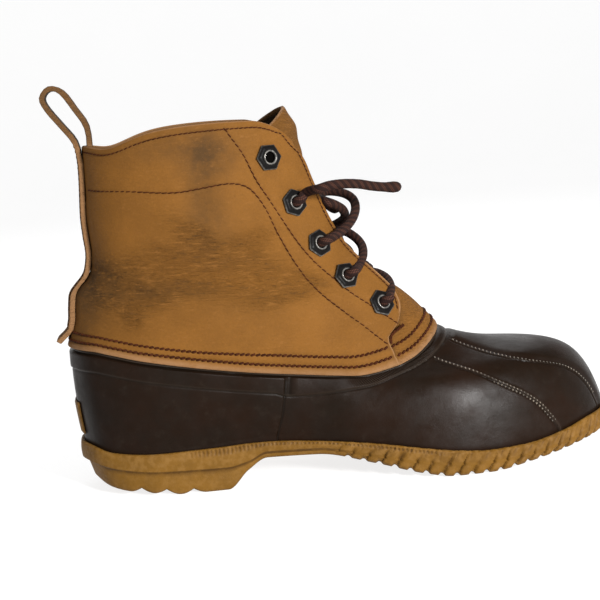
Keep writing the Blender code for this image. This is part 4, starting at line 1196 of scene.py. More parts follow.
def make_sole():
    """Gum sole as one closed grid: rows go from the tray's middle up over its raised edge, down
    the ribbed side and across the tread to the middle; columns go round the boot."""
    x, way, inner, length = sole_columns()
    lugs, cusps = tread_profile(way, length)
    top = read_table(SOLE, "top", x, "x")
    step = read_table(SOLE, "step", x, "x")
    ground = read_table(SOLE, "ground", x, "x")
    room = np.clip((step - ground) / 6.0, 0.0, 1.0)
    groove = lugs * room + cusps
    edge_groove = lugs * 0.42 * room + cusps
    tuck = HEEL_TUCK * (1.0 - smooth_step(0.0, HEEL_TUCK_END_X, x))
    fore = smooth_step(118.0, 150.0, x)
    ledge = 1.0 - fore
    fine_zone = smooth_step(50.0, 66.0, x) * (1.0 - smooth_step(172.0, 200.0, x))
    spine_x = np.clip(x, FAN_BACK_X, FAN_FRONT_X)
    spine_y = foot_centre(spine_x) * 0.6
    rows = []
    dark = []
    worn = []

    def add_row(row, groove_mark=0.0, worn_mark=0.0):
        """Adds one row of places with its marks."""
        rows.append(row)
        dark.append(np.broadcast_to(groove_mark, x.shape))
        worn.append(np.broadcast_to(worn_mark, x.shape))

    def side(inset, z, groove_mark=0.0, worn_mark=0.0):
        """Adds one row at a distance in from the edge."""
        add_row(sole_ring(x, inner, inset, z), groove_mark, worn_mark)

    def ropes(z):
        """The forefoot's lumps and cuts at a height, none behind it."""
        lump, slit = rope_relief(way, (top - z) / (top - ground))
        return lump * fore, slit

    spine = np.stack([spine_x, spine_y, sole_floor(spine_x)], axis=-1)
    tray_edge = sole_ring(x, inner, FOXING_WALL, sole_floor(x))
    for share in (0.0, 0.35, 0.7, 1.0):
        add_row(spine * (1.0 - share) + tray_edge * share, 0.6)
    side(FOXING_WALL, top - 0.7, 0.3)
    side(FOXING_WALL - 0.2, top - 0.25, 0.2)
    side(FOXING_WALL - 0.6, top, 0.0, 0.4)
    relief, cut = ropes(top)
    side(1.5, top + 0.15 - 0.4 * relief, 0.0, 0.8)
    side(0.8 + 0.4 * relief, top - 0.4 * relief, 0.2 * cut * fore, 0.8)
    side(0.45 + 0.8 * relief, top - SOLE_LIP, 0.4 * cut * fore, 0.5)
    for level in np.linspace(0.04, 1.0, 17):
        z = top - SOLE_LIP + (step + 0.5 - top + SOLE_LIP) * level
        relief, cut = ropes(z)
        fine = 0.5 + 0.5 * np.cos(2.0 * np.pi * way / FINE_RIB_PITCH)
        fine = fine * fine_zone * (1.0 - smooth_step(0.22, 0.40, level))
        swell = 0.35 * np.sin(np.pi * level) * ledge
        side(0.35 - swell + relief + FINE_RIB_DEPTH * fine, z,
             (0.85 * cut + 0.15) * fore + 0.75 * fine, 0.5 * (1.0 - cut))
    relief, cut = ropes(step)
    for drop, set_back, tucked, shadow in STEP_ROWS:
        side(0.4 + set_back * ledge + relief + tuck * tucked, step - drop, shadow * ledge + cut * fore)
    low_end = ground + 2.2 + edge_groove * 0.5
    for level in (0.2, 0.4, 0.6, 0.8, 1.0):
        z = step - 1.2 + (low_end - step + 1.2) * level
        relief, cut = ropes(z)
        inset = 0.4 + 0.8 * ledge + relief + tuck * (0.5 + 0.5 * level)
        side(inset + 0.6 * level * edge_groove * fore, z, 0.85 * cut * fore, 0.3)
    deep = smooth_step(0.2, 1.2, lugs)
    side(0.9 + 0.6 * ledge + 0.6 * edge_groove * fore + tuck, ground + 1.1 + edge_groove * 0.8,
         0.5 * deep, 0.4)
    side(1.6 + 0.5 * ledge + 0.5 * edge_groove * fore + tuck, ground + 0.35 + edge_groove, 0.5 * deep, 0.6)
    side(2.8 + tuck, ground + (edge_groove + groove) * 0.5, 0.3 * deep, 0.8)
    side(4.2 + tuck, ground + groove, 0.3 * deep, 0.8)
    spine[:, 2] = read_table(SOLE, "ground", spine_x, "x")
    sunk = smooth_step(0.2, 2.0, groove)
    for row in tread_rows(x, rows[-1], spine, groove):
        add_row(row, sunk, 1.0 - sunk)
    marks = {"groove": np.stack(dark).ravel(), "worn": np.stack(worn).ravel()}
    faces = [quads(len(rows), len(x), wrap_columns=True)]
    return add_mesh("gum_sole", np.concatenate(rows), faces, finish("gum"), marks, 50.0)


def weld(piece, distance=0.02):
    """Merges points that lie on each other and drops faces without area, then turns faces outwards."""
    bm = bmesh.new()
    bm.from_mesh(piece.data)
    bmesh.ops.remove_doubles(bm, verts=bm.verts, dist=distance * MM)
    bmesh.ops.dissolve_degenerate(bm, edges=bm.edges, dist=0.002 * MM)
    loose = [edge for edge in bm.edges if not edge.link_faces]
    bmesh.ops.delete(bm, geom=loose, context="EDGES")
    bmesh.ops.recalc_face_normals(bm, faces=bm.faces)
    if bm.calc_volume(signed=True) < 0.0:
        bmesh.ops.reverse_faces(bm, faces=bm.faces)
    bm.to_mesh(piece.data)
    bm.free()
    piece.data.update()


# Rubber bottom

RUBBER_COLUMNS = 350
RUBBER_ROWS = 118
LINING_ROWS = 14
MARGIN_WIDTH = 9.0
RIM_HIDDEN = 0.07
RIM_THINNING = 0.4
COUNTER_PROUD = 0.7
BAND_PROUD = 0.75
LIP_END = 1.0
GROOVE_END = 1.9

# Angles of the toe's two seams at each climb
SEAM_CLIMBS = (0.0, 0.07, 0.12, 0.19, 0.26, 0.35, 0.43, 0.57, 0.73, 0.86, 1.0)
UPPER_SEAM = (13.5, 15.0, 17.0, 20.2, 23.6, 26.0, 26.4, 24.4, 20.2, 16.8, 13.5)
LOWER_SEAM = (30.6, 32.2, 33.2, 35.0, 36.6, 37.8, 38.1, 37.6, 35.6, 33.4, 31.0)
TOE_SEAMS = (UPPER_SEAM, LOWER_SEAM)

# How far below the leather's edge the raised band ends, at angles from the toe
BAND_ANGLES = (0.0, 35.0, 62.0, 84.0, 87.0, 180.0)
BAND_LOW = (6.2, 6.6, 8.0, 11.4, 10.2, 10.6)
KNURL_ANGLES = (0.0, 35.0, 62.0, 84.0, 180.0)
KNURL_LOW = (6.2, 6.6, 8.0, 11.4, 10.6)

# Where the rubber's columns stand closer together: from, to and step, in degrees
FINE_COLUMNS = ((13.0, 27.5, 0.35), (30.0, 39.2, 0.30), (82.0, 90.0, 0.25))

# The joint of the rubber's rear piece with its front one, seen from the side
COUNTER_JOINT = table("x z", ((101.4, 25.6), (105.0, 38.5), (106.6, 48.0), (107.6, 56.0)))


def rubber_angles():
    """Angles of the columns round the rubber, closer at the toe's seams and the rear joint."""
    share = np.arange(RUBBER_COLUMNS) / RUBBER_COLUMNS
    angles = np.degrees(2.0 * np.pi * share - 0.28 * np.sin(2.0 * np.pi * share))
    angles = np.where(angles > 180.0, angles - 360.0, angles)
    fine = np.concatenate([np.arange(*limits) for limits in FINE_COLUMNS])
    every = np.sort(np.concatenate([angles, fine, -fine]))
    return np.radians(every[np.diff(every, append=200.0) > 0.02])


def spread_at(angle, climb):
    """Millimetres round the boot's form for each radian of angle."""
    turn = 0.01
    return np.linalg.norm(form(angle + turn, climb) - form(angle - turn, climb), axis=-1) / (2.0 * turn)


def seam_gap(angle, climb, seam):
    """Distance from a toe seam in millimetres, below zero on its inner side."""
    seam_angle = np.radians(read_curve(SEAM_CLIMBS, seam, climb))
    return (np.abs(angle) - seam_angle) * np.maximum(spread_at(angle, climb), 1.0)


def rubber_relief(angle, climb, points, below):
    """Height of the rubber's band, lip, rear piece and toe seams over its form, and its marks of painted
    shade and of wear with painted highlight.

    below is the distance down from the leather's edge.
    """
    x = points[..., 0]
    z = points[..., 2]
    joint_x = np.interp(z, [row.z for row in COUNTER_JOINT], [row.x for row in COUNTER_JOINT])
    rear = smooth_step(0.35, -0.35, x - joint_x)
    band_low = read_curve(BAND_ANGLES, BAND_LOW, np.abs(np.degrees(angle)))
    lip = 1.0 - smooth_step(LIP_END - 0.3, LIP_END + 0.3, below)
    groove = smooth_step(LIP_END, LIP_END + 0.4, below)
    groove = groove * (1.0 - smooth_step(GROOVE_END - 0.4, GROOVE_END, below))
    in_band = smooth_step(GROOVE_END - 0.3, GROOVE_END + 0.3, below)
    in_band = in_band * (1.0 - smooth_step(band_low - 0.45, band_low + 0.15, below))
    under_band = hump(below, band_low + 0.55, 0.5)
    counter = COUNTER_PROUD * rear * smooth_step(2.0, 2.6, z - sole_floor(x) + 2.0)
    joint = hump(x, joint_x + 0.6, 0.5) * smooth_step(GROOVE_END, 4.0, below)
    height = BAND_PROUD * in_band + 0.1 * lip - 0.55 * groove + counter * smooth_step(1.9, 2.4, below)
    notch = hump(x, joint_x + 2.6, 1.7) * in_band
    height = height - 0.25 * under_band - 0.3 * joint - 0.8 * notch
    toe = smooth_step(8.5, 12.0, below)
    # dark is painted shade in the grooves, under the band, at the joint and notch and beside the seams; worn
    # is wear with painted highlight on the lip, the band's lower edge and the seam ridges
    dark = 0.9 * groove + 0.55 * under_band + 0.8 * joint + 0.7 * notch
    worn = 0.55 * lip + 0.25 * hump(below, band_low - 0.2, 0.5)
    for number, seam in enumerate(TOE_SEAMS):
        gap = seam_gap(angle, climb, seam)
        heavy = 0.5 + 0.5 * number
        height = height + toe * (0.55 * heavy * hump(gap, -0.9, 0.7) - 0.55 * hump(gap, 0.5, 0.55))
        dark = dark + 0.7 * toe * hump(gap, 0.5, 0.5)
        worn = worn + 0.3 * heavy * toe * hump(gap, -0.9, 0.6)
    inwards = -seam_gap(angle, climb, UPPER_SEAM)
    height = height + 0.9 * toe * smooth_step(0.5, 8.0, inwards) - 0.35 * toe * hump(inwards, 2.5, 2.5)
    thinned = RIM_THINNING * (1.0 - smooth_step(0.0, 0.25, below))
    return height - thinned, np.clip(dark, 0.0, 1.0), worn


def knurl_mark(angle, below):
    """Where the raised band is knurled: a soft stretch of its middle, beside the toe."""
    degrees = np.abs(np.degrees(angle))
    low = read_curve(KNURL_ANGLES, KNURL_LOW, degrees)
    across = hump(below, low * 0.62, low * 0.26)
    return across * smooth_step(20.0, 40.0, degrees) * (1.0 - smooth_step(56.0, 66.0, degrees))


def make_rubber():
    """Rubber bottom: its form raised by the relief, closed round its rim, lining and turned-in edge.

    Rows run from the turned-in edge up the outer face and over the rim; the lining goes back down.
    """
    angles = rubber_angles()
    climbs = np.linspace(0.0, 1.0, RUBBER_ROWS)
    climbs = climbs + 0.030 * np.sin(2.0 * np.pi * climbs) / 2.0
    angle, climb = np.meshgrid(angles, climbs)
    bare = surface(angle, climb, 0.0)
    below = way_along(bare[::-1])[::-1]
    height, dark, worn = rubber_relief(angle, climb, bare, below)
    sole_x = sole_x_of_rim(rim_point(angles)[:, 0])
    side = angles > 0.0
    floor = shell_floor(sole_x)
    inset = FOXING_WALL + TRAY_GAP
    margin = sole_ring(sole_x, side, inset + MARGIN_WIDTH, floor)
    margin_top = sole_ring(sole_x, side, inset + MARGIN_WIDTH, floor + RUBBER_WALL)
    corner = sole_ring(sole_x, side, inset + RUBBER_WALL, floor + RUBBER_WALL)
    lining = surface(*np.meshgrid(angles, np.linspace(0.07, 1.0, LINING_ROWS)), -RUBBER_WALL)
    rim_angle, rim_level = np.meshgrid(angles, (1.0 + RIM_HIDDEN,))
    outer = np.vstack([
        margin[None], surface(angle, climb, height), surface(rim_angle, rim_level, -RIM_THINNING),
    ])
    inner = np.vstack([margin_top[None], corner[None], lining, surface(rim_angle, rim_level, -RUBBER_WALL)])
    along = np.broadcast_to(way_along(rim_point(angles)), climb.shape)
    marks = {"inside": (0.0, 1.0)}
    knurl = knurl_mark(angle, below)
    for mark, values in (("groove", dark), ("worn", worn), ("along", along), ("knurl", knurl)):
        marks[mark] = (np.pad(values, ((1, 1), (0, 0))), 0.0)
    return add_sheet("rubber_bottom", outer, inner, finish("rubber"), marks, 60.0, ring=True)


def make_footbed():
    """Felt footbed: a low crowned slab whose rows run from its middle over its edge and back below."""
    angles = turned(np.linspace(-180.0, 180.0, 181)[:-1])
    sole_x = sole_x_of_rim(rim_point(angles)[:, 0])
    side = angles > 0.0
    inset = FOXING_WALL + RUBBER_WALL + 2.6 + 2.0 * smooth_step(230.0, 280.0, sole_x)
    low = shell_floor(sole_x) + RUBBER_WALL + CLEARANCE
    middle_x = np.clip(sole_x, FAN_BACK_X, FAN_FRONT_X - 12.0)
    middle_low = shell_floor(middle_x) + RUBBER_WALL + CLEARANCE
    middle = np.stack([middle_x, foot_centre(middle_x) * 0.6, middle_low], axis=1)
    edge = sole_ring(sole_x, side, inset, low)
    up = np.array([0.0, 0.0, 1.0])
    under = sole_ring(sole_x, side, inset + 0.4, low)
    rows = []
    for share in np.linspace(0.0, 0.96, 16):
        crown = INSOLE_THICKNESS - 0.3 * np.cos(share * 9.0)
        rows.append(middle * (1.0 - share) + edge * share + up * crown)
    rows += [edge + up * (INSOLE_THICKNESS - 0.5), edge + up * 0.4, under, (middle + under) * 0.5, middle]
    faces = [quads(len(rows), len(angles), wrap_columns=True)]
    piece = add_mesh("felt_footbed", np.concatenate(rows), faces, finish("felt"), None, 50.0)
    weld(piece)
    return piece


# Leather quarters

QUARTER_COLUMNS = 321
QUARTER_ROWS = 121
INNER_STEP = 3
LAP_MARGIN = 3.0
LAP_FADE = 14.0
LAP_LIFT = 2.4
ROW_HEIGHTS = (4.9, 10.4)
HEEL_ROW_SHARE = 0.78
EDGE_STITCH_INSET = 2.8
DEEPEST_DENT = 1.15

# Stitched line of the facing, from the back seam to the front, seen from the side
FACING_LINE = table("x z", (
    (17.0, 158.5), (35.0, 157.7), (58.0, 155.7), (72.0, 156.8),
    (84.0, 158.0), (92.0, 157.0), (98.0, 153.0), (104.0, 143.3),
    (109.0, 131.0), (117.0, 114.8), (124.0, 104.0), (131.5, 95.6),
    (143.0, 84.8), (153.0, 75.5), (162.0, 67.4),
))

# Stitched line of the eyestay, from the collar down to the bar tack
EYESTAY_LINE = table("x z", (
    (85.8, 186.0), (88.5, 181.5), (94.4, 171.8), (100.0, 158.8), (106.7, 146.8),
    (112.6, 136.2), (118.6, 126.0), (127.0, 114.0), (136.2, 104.0),
    (146.0, 94.3), (158.0, 84.9), (168.5, 76.3),
))

# Fold across the back of the leather: how far forwards it lies at each height
BACK_FOLD = table("at forward", (
    (60.0, 0.0), (80.0, 0.0), (89.0, -0.6), (98.0, -2.6),
    (104.5, -3.4), (108.5, -1.9), (111.5, 0.3), (116.5, 2.0),
    (124.0, 1.6), (134.0, 0.4), (145.0, 0.0), (220.0, 0.0),
))

# Main creases of the leather on each side: place, half length, half width, depth and slope
CREASES = table("x z length width depth slope", (
    (71.0, 160.0, 30.0, 11.0, 0.6, 88.0),
    (66.0, 134.0, 17.0, 1.3, 0.35, -42.0),
    (73.0, 131.0, 14.0, 1.0, 0.28, -40.0),
    (60.0, 113.5, 34.0, 1.6, 0.50, 14.0),
    (74.0, 121.5, 30.0, 1.3, 0.42, 9.0),
    (84.0, 116.0, 32.0, 1.4, 0.45, 7.0),
    (88.0, 110.4, 28.0, 1.2, 0.36, 5.0),
    (103.0, 103.0, 26.0, 1.2, 0.42, 3.0),
    (110.0, 99.8, 20.0, 1.0, 0.30, 6.0),
    (121.0, 106.5, 14.0, 1.0, 0.28, -12.0),
    (22.0, 116.0, 12.0, 1.6, 0.55, -24.0),
    (27.0, 109.0, 15.0, 1.5, 0.50, -10.0),
    (20.0, 104.5, 10.0, 1.2, 0.35, 12.0),
    (34.0, 119.5, 14.0, 1.2, 0.32, 16.0),
    (45.0, 105.0, 16.0, 1.4, 0.35, 10.0),
    (35.0, 94.0, 8.0, 1.1, 0.22, 82.0),
    (52.0, 127.0, 13.0, 1.0, 0.26, -18.0),
    (96.0, 128.5, 16.0, 1.2, 0.30, 16.0),
))

# Broad soft swells between the creases, in the same columns
SWELLS = table("x z length width depth slope", (
    (62.0, 118.0, 30.0, 5.0, -0.9, 12.0),
    (90.0, 106.5, 28.0, 4.0, -0.7, 5.0),
    (26.0, 112.0, 16.0, 4.5, 0.9, -12.0),
    (30.0, 128.0, 18.0, 10.0, -0.5, 40.0),
    (120.0, 84.0, 26.0, 9.0, -0.5, -20.0),
))

# Browner places of the leather, with painted shade at the back, along the creases and under the hand, seen
# from the side
TONE_AND_SHADOW_PATCHES = table("x z long high amount", (
    (2.0, 120.0, 14.0, 66.0, 0.58),
    (14.0, 112.0, 14.0, 14.0, 0.45),
    (24.0, 115.0, 15.0, 4.5, 0.20),
    (28.0, 107.0, 19.0, 4.0, 0.24),
    (46.0, 107.5, 15.0, 5.5, 0.30),
    (66.0, 106.0, 12.0, 4.0, 0.20),
    (73.0, 163.0, 9.0, 24.0, 0.48),
    (60.0, 178.0, 26.0, 8.0, 0.40),
    (82.0, 172.0, 12.0, 12.0, 0.42),
    (76.0, 139.0, 13.0, 12.0, 0.34),
    (66.0, 128.0, 16.0, 7.0, 0.12),
    (84.0, 118.0, 24.0, 5.0, 0.16),
    (104.0, 102.5, 24.0, 3.2, 0.10),
    (30.0, 95.0, 22.0, 9.0, 0.08),
    (92.0, 95.0, 26.0, 5.0, 0.12),
    (128.0, 60.0, 40.0, 4.0, 0.15),
))


def collar_drop(share, height):
    """How far the collar is rounded off beside the throat, and dips on each side of its back."""
    corner = 10.5 * np.clip(1.0 - share / 0.22, 0.0, 1.0) ** 1.5
    dip = 4.0 * np.exp(-((share - 0.74) / 0.12) ** 2)
    return (corner + dip) * smooth_step(0.75, 1.0, height)


def quarter_lift(angle, height):
    """Lift of the quarter's front part, which lies over the vamp piece."""
    vamp_edge = turned(read_table(TONGUE, "angle", height, "t") + LAP_MARGIN)
    over_vamp = 1.0 - smooth_step(vamp_edge, vamp_edge + turned(LAP_FADE), np.abs(angle))
    return LAP_LIFT * over_vamp * (1.0 - smooth_step(0.26, 0.44, height))


def back_fold(angle, z):
    """How far the leather folds in or out at the back, where the ankle has creased it."""
    reach = hump(np.pi - np.abs(angle), 0.0, 0.55)
    depth = read_table(BACK_FOLD, "forward", z, "at")
    return depth * reach


def quarter_surface(angle, height, edge, distance):
    """The quarters' face at a distance from the form, with the collar's front corners rounded."""
    share = (np.abs(angle) - edge) / (np.pi - edge)
    points = surface(angle, 1.0 + height, CLEARANCE + quarter_lift(angle, height) + distance)
    points[..., 0] += back_fold(angle, points[..., 2])
    points[..., 2] -= collar_drop(share, height)
    return points


def throat_edge(height):
    """Angle of the quarter's front edge at a height."""
    return turned(read_table(THROAT, "angle", height, "t"))


def find_line(points, inner):
    """Angles and heights of a line given as seen from the side, by the same search for all at once."""
    side = 1.0 if inner else -1.0
    target = np.array([(point.x, point.z) for point in points])
    angle = np.full(len(target), 1.2)
    height = np.full(len(target), 0.4)
    nudge = 0.001
    for _ in range(60):
        here = form(side * angle, 1.0 + height)[:, [0, 2]]
        turn = (form(side * (angle + nudge), 1.0 + height)[:, [0, 2]] - here) / nudge
        rise = (form(side * angle, 1.0 + height + nudge)[:, [0, 2]] - here) / nudge
        step = np.linalg.solve(np.stack([turn, rise], axis=2), (target - here)[..., None])[..., 0]
        angle = np.clip(angle + np.clip(0.6 * step[:, 0], -0.2, 0.2), 0.3, 2.9)
        height = np.clip(height + np.clip(0.6 * step[:, 1], -0.1, 0.1), 0.02, 0.99)
    return np.stack([side * angle, height], axis=1)


def quarter_line(places, distance):
    """A smooth line on the quarter through angles and heights: its points and unit normals."""
    dense = smooth_route(places, len(places) * 16)
    angle = dense[:, 0]
    height = dense[:, 1]
    points = quarter_surface(angle, height, throat_edge(height), LEATHER_WALL + distance)
    return points, form_normal(angle, 1.0 + height)


def crease_relief(points, rows):
    """Depth of listed creases: a bell across each and a longer bell along it."""
    total = np.zeros(points.shape[:-1])
    for row in rows:
        slope = np.radians(row.slope)
        dx = points[..., 0] - row.x
        dz = points[..., 2] - row.z
        along = dx * np.cos(slope) + dz * np.sin(slope)
        bow = 0.06 * row.width * np.sin(along * 0.35 + row.x)
        across = -dx * np.sin(slope) + dz * np.cos(slope) + bow + along ** 2 * 0.0035
        total += row.depth * np.exp(-(across / row.width) ** 2) * np.exp(-(along / row.length) ** 2 * 1.6)
    return total


def tone_and_shadow_of(points):
    """How much browner the leather is and how much painted shade it takes, from the listed soft places."""
    total = np.zeros(points.shape[:-1])
    for row in TONE_AND_SHADOW_PATCHES:
        total += row.amount * np.exp(-((points[..., 0] - row.x) / row.long) ** 2
                                     - ((points[..., 2] - row.z) / row.high) ** 2)
    return total


def quarter_shares():
    """Share of each column of the way round both quarters, closer together at the front edges."""
    shares = np.linspace(0.0, 2.0, QUARTER_COLUMNS - 2)
    return np.concatenate([[0.0, 0.0028], shares[1:-1], [1.9972, 2.0]])


def quarter_grid(shares, heights):
    """Angles and heights of a grid of columns round both quarters, and the front edge's angle."""
    share, height = np.meshgrid(shares, heights)
    edge = throat_edge(heights)[:, None]
    round_from_front = edge + (np.pi - edge) * np.minimum(share, 2.0 - share)
    angle = np.where(share <= 1.0, -round_from_front, round_from_front)
    return angle, height, np.broadcast_to(edge, angle.shape), np.minimum(share, 2.0 - share)


def edge_line(inner):
    """Angles and heights of the stitch line along a quarter's front edge and collar."""
    heights = np.linspace(0.13, 0.87, 26)
    edge = throat_edge(heights)
    near = quarter_surface(edge, heights, edge, LEATHER_WALL)
    next_to = quarter_surface(edge + 0.1, heights, edge, LEATHER_WALL)
    width = np.linalg.norm(next_to - near, axis=-1) / 0.1
    front = np.stack([edge + EDGE_STITCH_INSET / width, heights], axis=1)
    shares = np.linspace(0.085, 0.97, 30)
    collar_edge = throat_edge(np.array(0.965))
    collar = np.stack([collar_edge + (np.pi - collar_edge) * shares, np.full(len(shares), 0.968)], axis=1)
    line = np.vstack([front, collar])
    return line * ((1.0, 1.0) if inner else (-1.0, 1.0))


def row_share(x):
    """How much nearer to the leather's edge the lower rows run towards the heel."""
    return HEEL_ROW_SHARE + (1.0 - HEEL_ROW_SHARE) * smooth_step(15.0, 85.0, x)


def height_at_climb(heights, climb, rise):
    """Height at which each column of a grid has climbed a distance from its lowest row."""
    above = np.argmax(climb >= rise, axis=0)
    picks = np.arange(climb.shape[1])
    low = climb[above - 1, picks]
    return heights[above - 1] + (rise - low) / (climb[above, picks] - low) * (heights[1] - heights[0])


def lower_row(shares, rise):
    """Angles and heights of a stitch row a distance above the leather's lower edge."""
    heights = np.linspace(0.0, 0.35, 71)
    angle, height, edge, _ = quarter_grid(shares, heights)
    low_line = quarter_surface(angle, height, edge, LEATHER_WALL)
    at = height_at_climb(heights, way_along(low_line), rise * row_share(low_line[0, :, 0]))
    edge_at = throat_edge(at)
    turn = edge_at + (np.pi - edge_at) * np.minimum(shares, 2.0 - shares)
    return np.stack([np.where(shares <= 1.0, -turn, turn), at], axis=1)


def press_rows(climb, along, places, sink, groove_depth, widths, tug):
    """Relief and painted groove shade of the two lower stitch rows: each is pressed in, more so at every
    stitch.
    """
    relief = 0.25 * hump(climb, 7.6, 1.6)
    groove = np.zeros(climb.shape)
    tuck = 1.0 - tug + tug * np.cos(2.0 * np.pi * along / (sizes().stitch_pitch / MM))
    for place in places:
        relief = relief - sink * hump(climb, place, widths[0]) * tuck
        groove = groove + groove_depth * hump(climb, place, widths[1])
    return relief, groove


def pale_margin(climb):
    """How pale the leather is near its lower edge."""
    return 1.0 - smooth_step(0.5, 4.5, climb)


def quarter_relief(bare, climb, along, share):
    """Relief of the quarters and the painted shade along their seams: rows, seams, creases, swells, ripples.
    """
    places = [rise * row_share(bare[:1, :, 0]) for rise in ROW_HEIGHTS]
    relief, groove = press_rows(climb, along, places, 0.55, 0.7, (0.9, 0.9), 0.3)
    relief += 0.22 * hump(climb, 2.2, 1.4)
    for inner in (False, True):
        for places in (find_line(FACING_LINE, inner), find_line(EYESTAY_LINE, inner), edge_line(inner)):
            gap = nearest_way(bare, quarter_line(places, 0.0)[0])
            relief += 0.08 * hump(gap, 2.0, 1.1) - 0.22 * hump(gap, 0.0, 0.75)
            groove += 0.5 * hump(gap, 0.0, 0.55)
        for index in range(len(EYELETS)):
            centre = eyelet_seat(index, inner)[0]
            relief -= 0.35 * hump(np.linalg.norm(bare - centre, axis=-1), 0.0, 7.5)
    x = bare[..., 0]
    z = bare[..., 2]
    fade = smooth_step(0.0, 0.06, share)
    ripple = np.sin(x * 0.19 + z * 0.11) * np.sin(z * 0.16 - x * 0.05)
    relief += 0.22 * ripple * fade * smooth_step(12.0, 22.0, climb)
    relief -= (1.7 * crease_relief(bare, CREASES) + 1.3 * crease_relief(bare, SWELLS)) * fade
    return np.maximum(relief, -DEEPEST_DENT), groove


def make_quarters():
    """Both leather quarters: the form plus their wall, raised and dented by seams and creases."""
    shares = quarter_shares()
    heights = np.linspace(0.0, 1.0, QUARTER_ROWS)
    heights[1] = 0.004
    heights[-2] = 0.994
    angle, height, edge, share = quarter_grid(shares, heights)
    bare = quarter_surface(angle, height, edge, LEATHER_WALL)
    climb = way_along(bare)
    along = way_along(np.swapaxes(bare, 0, 1)).T
    relief, groove = quarter_relief(bare, climb, along, share)
    from_front = np.minimum(along, along[:, -1:] - along)
    low_front = 1.0 - smooth_step(0.30, 0.50, height)
    # Painted shadow along the quarter's low front edge, where it lies over the vamp
    groove += 0.55 * hump(from_front, 1.5, 0.7) * low_front
    rim = border_of(angle.shape)
    outer = quarter_surface(angle, height, edge, LEATHER_WALL + relief - 0.55 * rim)
    angle, height, edge, _ = quarter_grid(shares, heights[::INNER_STEP])
    inner = quarter_surface(angle, height, edge, 0.0)
    border = border_of(inner.shape)
    wide_creases = [row._replace(width=row.width * 5.0, depth=1.0) for row in CREASES[1:]]
    marks = {
        "shade": (np.clip(tone_and_shadow_of(bare), 0.0, 0.9), 0.0),
        "groove": (np.clip(groove, 0.0, 1.0), 0.0),
        "edge": (np.maximum(rim, (from_front < 1.0) * low_front * 0.9), border),
        "inside": (0.0, 1.0 - border),
        "wrinkle": (np.clip(crease_relief(bare, wide_creases), 0.0, 1.0), 0.3),
        "pale": (pale_margin(climb), 0.0),
    }
    return add_sheet("leather_quarters", outer, inner, finish("leather"), marks, 60.0)


def quarter_front(inner):
    """Line of a quarter's raw front edge on the leather under it."""
    heights = np.linspace(0.04, 0.8, 60)
    edge = throat_edge(heights)
    angle = edge if inner else -edge
    return quarter_surface(angle, heights, edge, 0.0)


TONGUE_STAND = 4.5
TONGUE_ROUNDING = 12.0

# How far the tongue stands forward of the form at each share of its height
TONGUE_FORWARD = table("at forward", (
    (0.50, 0.0), (0.70, 2.3), (0.85, 4.4), (0.95, 3.2),
    (1.00, 1.4), (1.05, -1.2),
))
VAMP_COLUMNS = 141
VAMP_ROWS = 121


def vamp_surface(share, height, distance):
    """Vamp piece and tongue at a distance from their inner face."""
    angle = share * turned(read_table(TONGUE, "angle", height, "t"))
    offset = read_table(TONGUE, "offset", height, "t")
    tuck = -1.2 * smooth_step(0.6, 1.0, np.abs(share)) * smooth_step(0.2, 0.4, height)
    points = surface(angle, 1.0 + height, offset + tuck + distance)
    forward = read_table(TONGUE_FORWARD, "forward", height, "at")
    points[..., 0] += forward * (1.0 - 0.6 * share ** 2)
    stand = TONGUE_STAND - TONGUE_ROUNDING * (share - 0.1) ** 2
    points[..., 2] += stand * smooth_step(0.80, 1.05, height)
    return points


def make_vamp():
    """Vamp piece and tongue in one leather, with the two lower rows pressed in and soft cross folds."""
    shares = np.linspace(-1.0, 1.0, VAMP_COLUMNS)
    heights = np.linspace(0.0, 1.05, VAMP_ROWS)
    share, height = np.meshgrid(shares, heights)
    bare = vamp_surface(share, height, TONGUE_WALL)
    climb = way_along(bare)
    along = way_along(np.swapaxes(bare, 0, 1)).T
    relief, groove = press_rows(climb, along, ROW_HEIGHTS, 0.38, 0.5, (0.8, 0.7), 0.25)
    relief += 0.2 * hump(climb, 2.2, 1.4)
    fold = smooth_step(0.16, 0.26, height)
    relief += 0.35 * fold * np.sin(climb * 0.42 + 1.4 * np.sin(share * 2.1)) * (1.0 - 0.5 * np.abs(share))
    # Painted shadow on the vamp along each quarter's front edge, which lies over it
    for inner_side in (False, True):
        over = quarter_front(inner_side)
        groove += 1.4 * hump(nearest_way(bare, over), 0.0, 2.2) * (1.0 - smooth_step(0.5, 0.8, height))
    edge_way = np.minimum(share + 1.0, 1.0 - share) * 30.0
    relief -= 0.2 * hump(edge_way, 2.5, 0.7) * fold
    rim = border_of(share.shape)
    outer = vamp_surface(share, height, TONGUE_WALL + relief - 0.35 * rim)
    inner = vamp_surface(*np.meshgrid(shares, heights[::INNER_STEP]), 0.0)
    border = border_of(inner.shape)
    shade = 0.25 * smooth_step(0.15, 0.3, height) + 0.18 * hump(climb, 22.0, 9.0) + 0.12 * np.abs(share)
    marks = {
        "shade": (shade, 0.0), "groove": (np.clip(groove, 0.0, 1.0), 0.0), "edge": (rim, border),
        "inside": (0.0, 1.0 - border), "wrinkle": (0.45, 0.45), "pale": (pale_margin(climb), 0.0),
    }
    return add_sheet("vamp_and_tongue", outer, inner, finish("leather"), marks, 60.0)


# Back strap and heel patch

STRAP_WALL = 2.8
STRAP_COLUMNS = 13
STRAP_SHARES = (0.945, 0.972, 1.0, 1.028, 1.055)
STRAP_HEIGHTS = tuple(np.linspace(0.08, 0.91, 30))
STRAP_TAIL_X = -6.6
STRAP_TAIL_Z = 79.5
LOOP_END_HEIGHTS = (0.96, 0.84)

# Middle line of the free loop above the collar, seen from the side
PULL_LOOP = table("x z", (
    (11.0, 183.0), (5.2, 191.5), (-1.4, 200.5), (-3.6, 206.5),
    (0.4, 211.0), (6.4, 209.0), (12.4, 200.0), (17.6, 190.5),
))


def strap_rows(heights, distance):
    """Rows of the strap that lie along the back of the leather."""
    angle, height, edge, _ = quarter_grid(np.array(STRAP_SHARES), np.array(heights))
    return quarter_surface(angle, height, edge, distance)


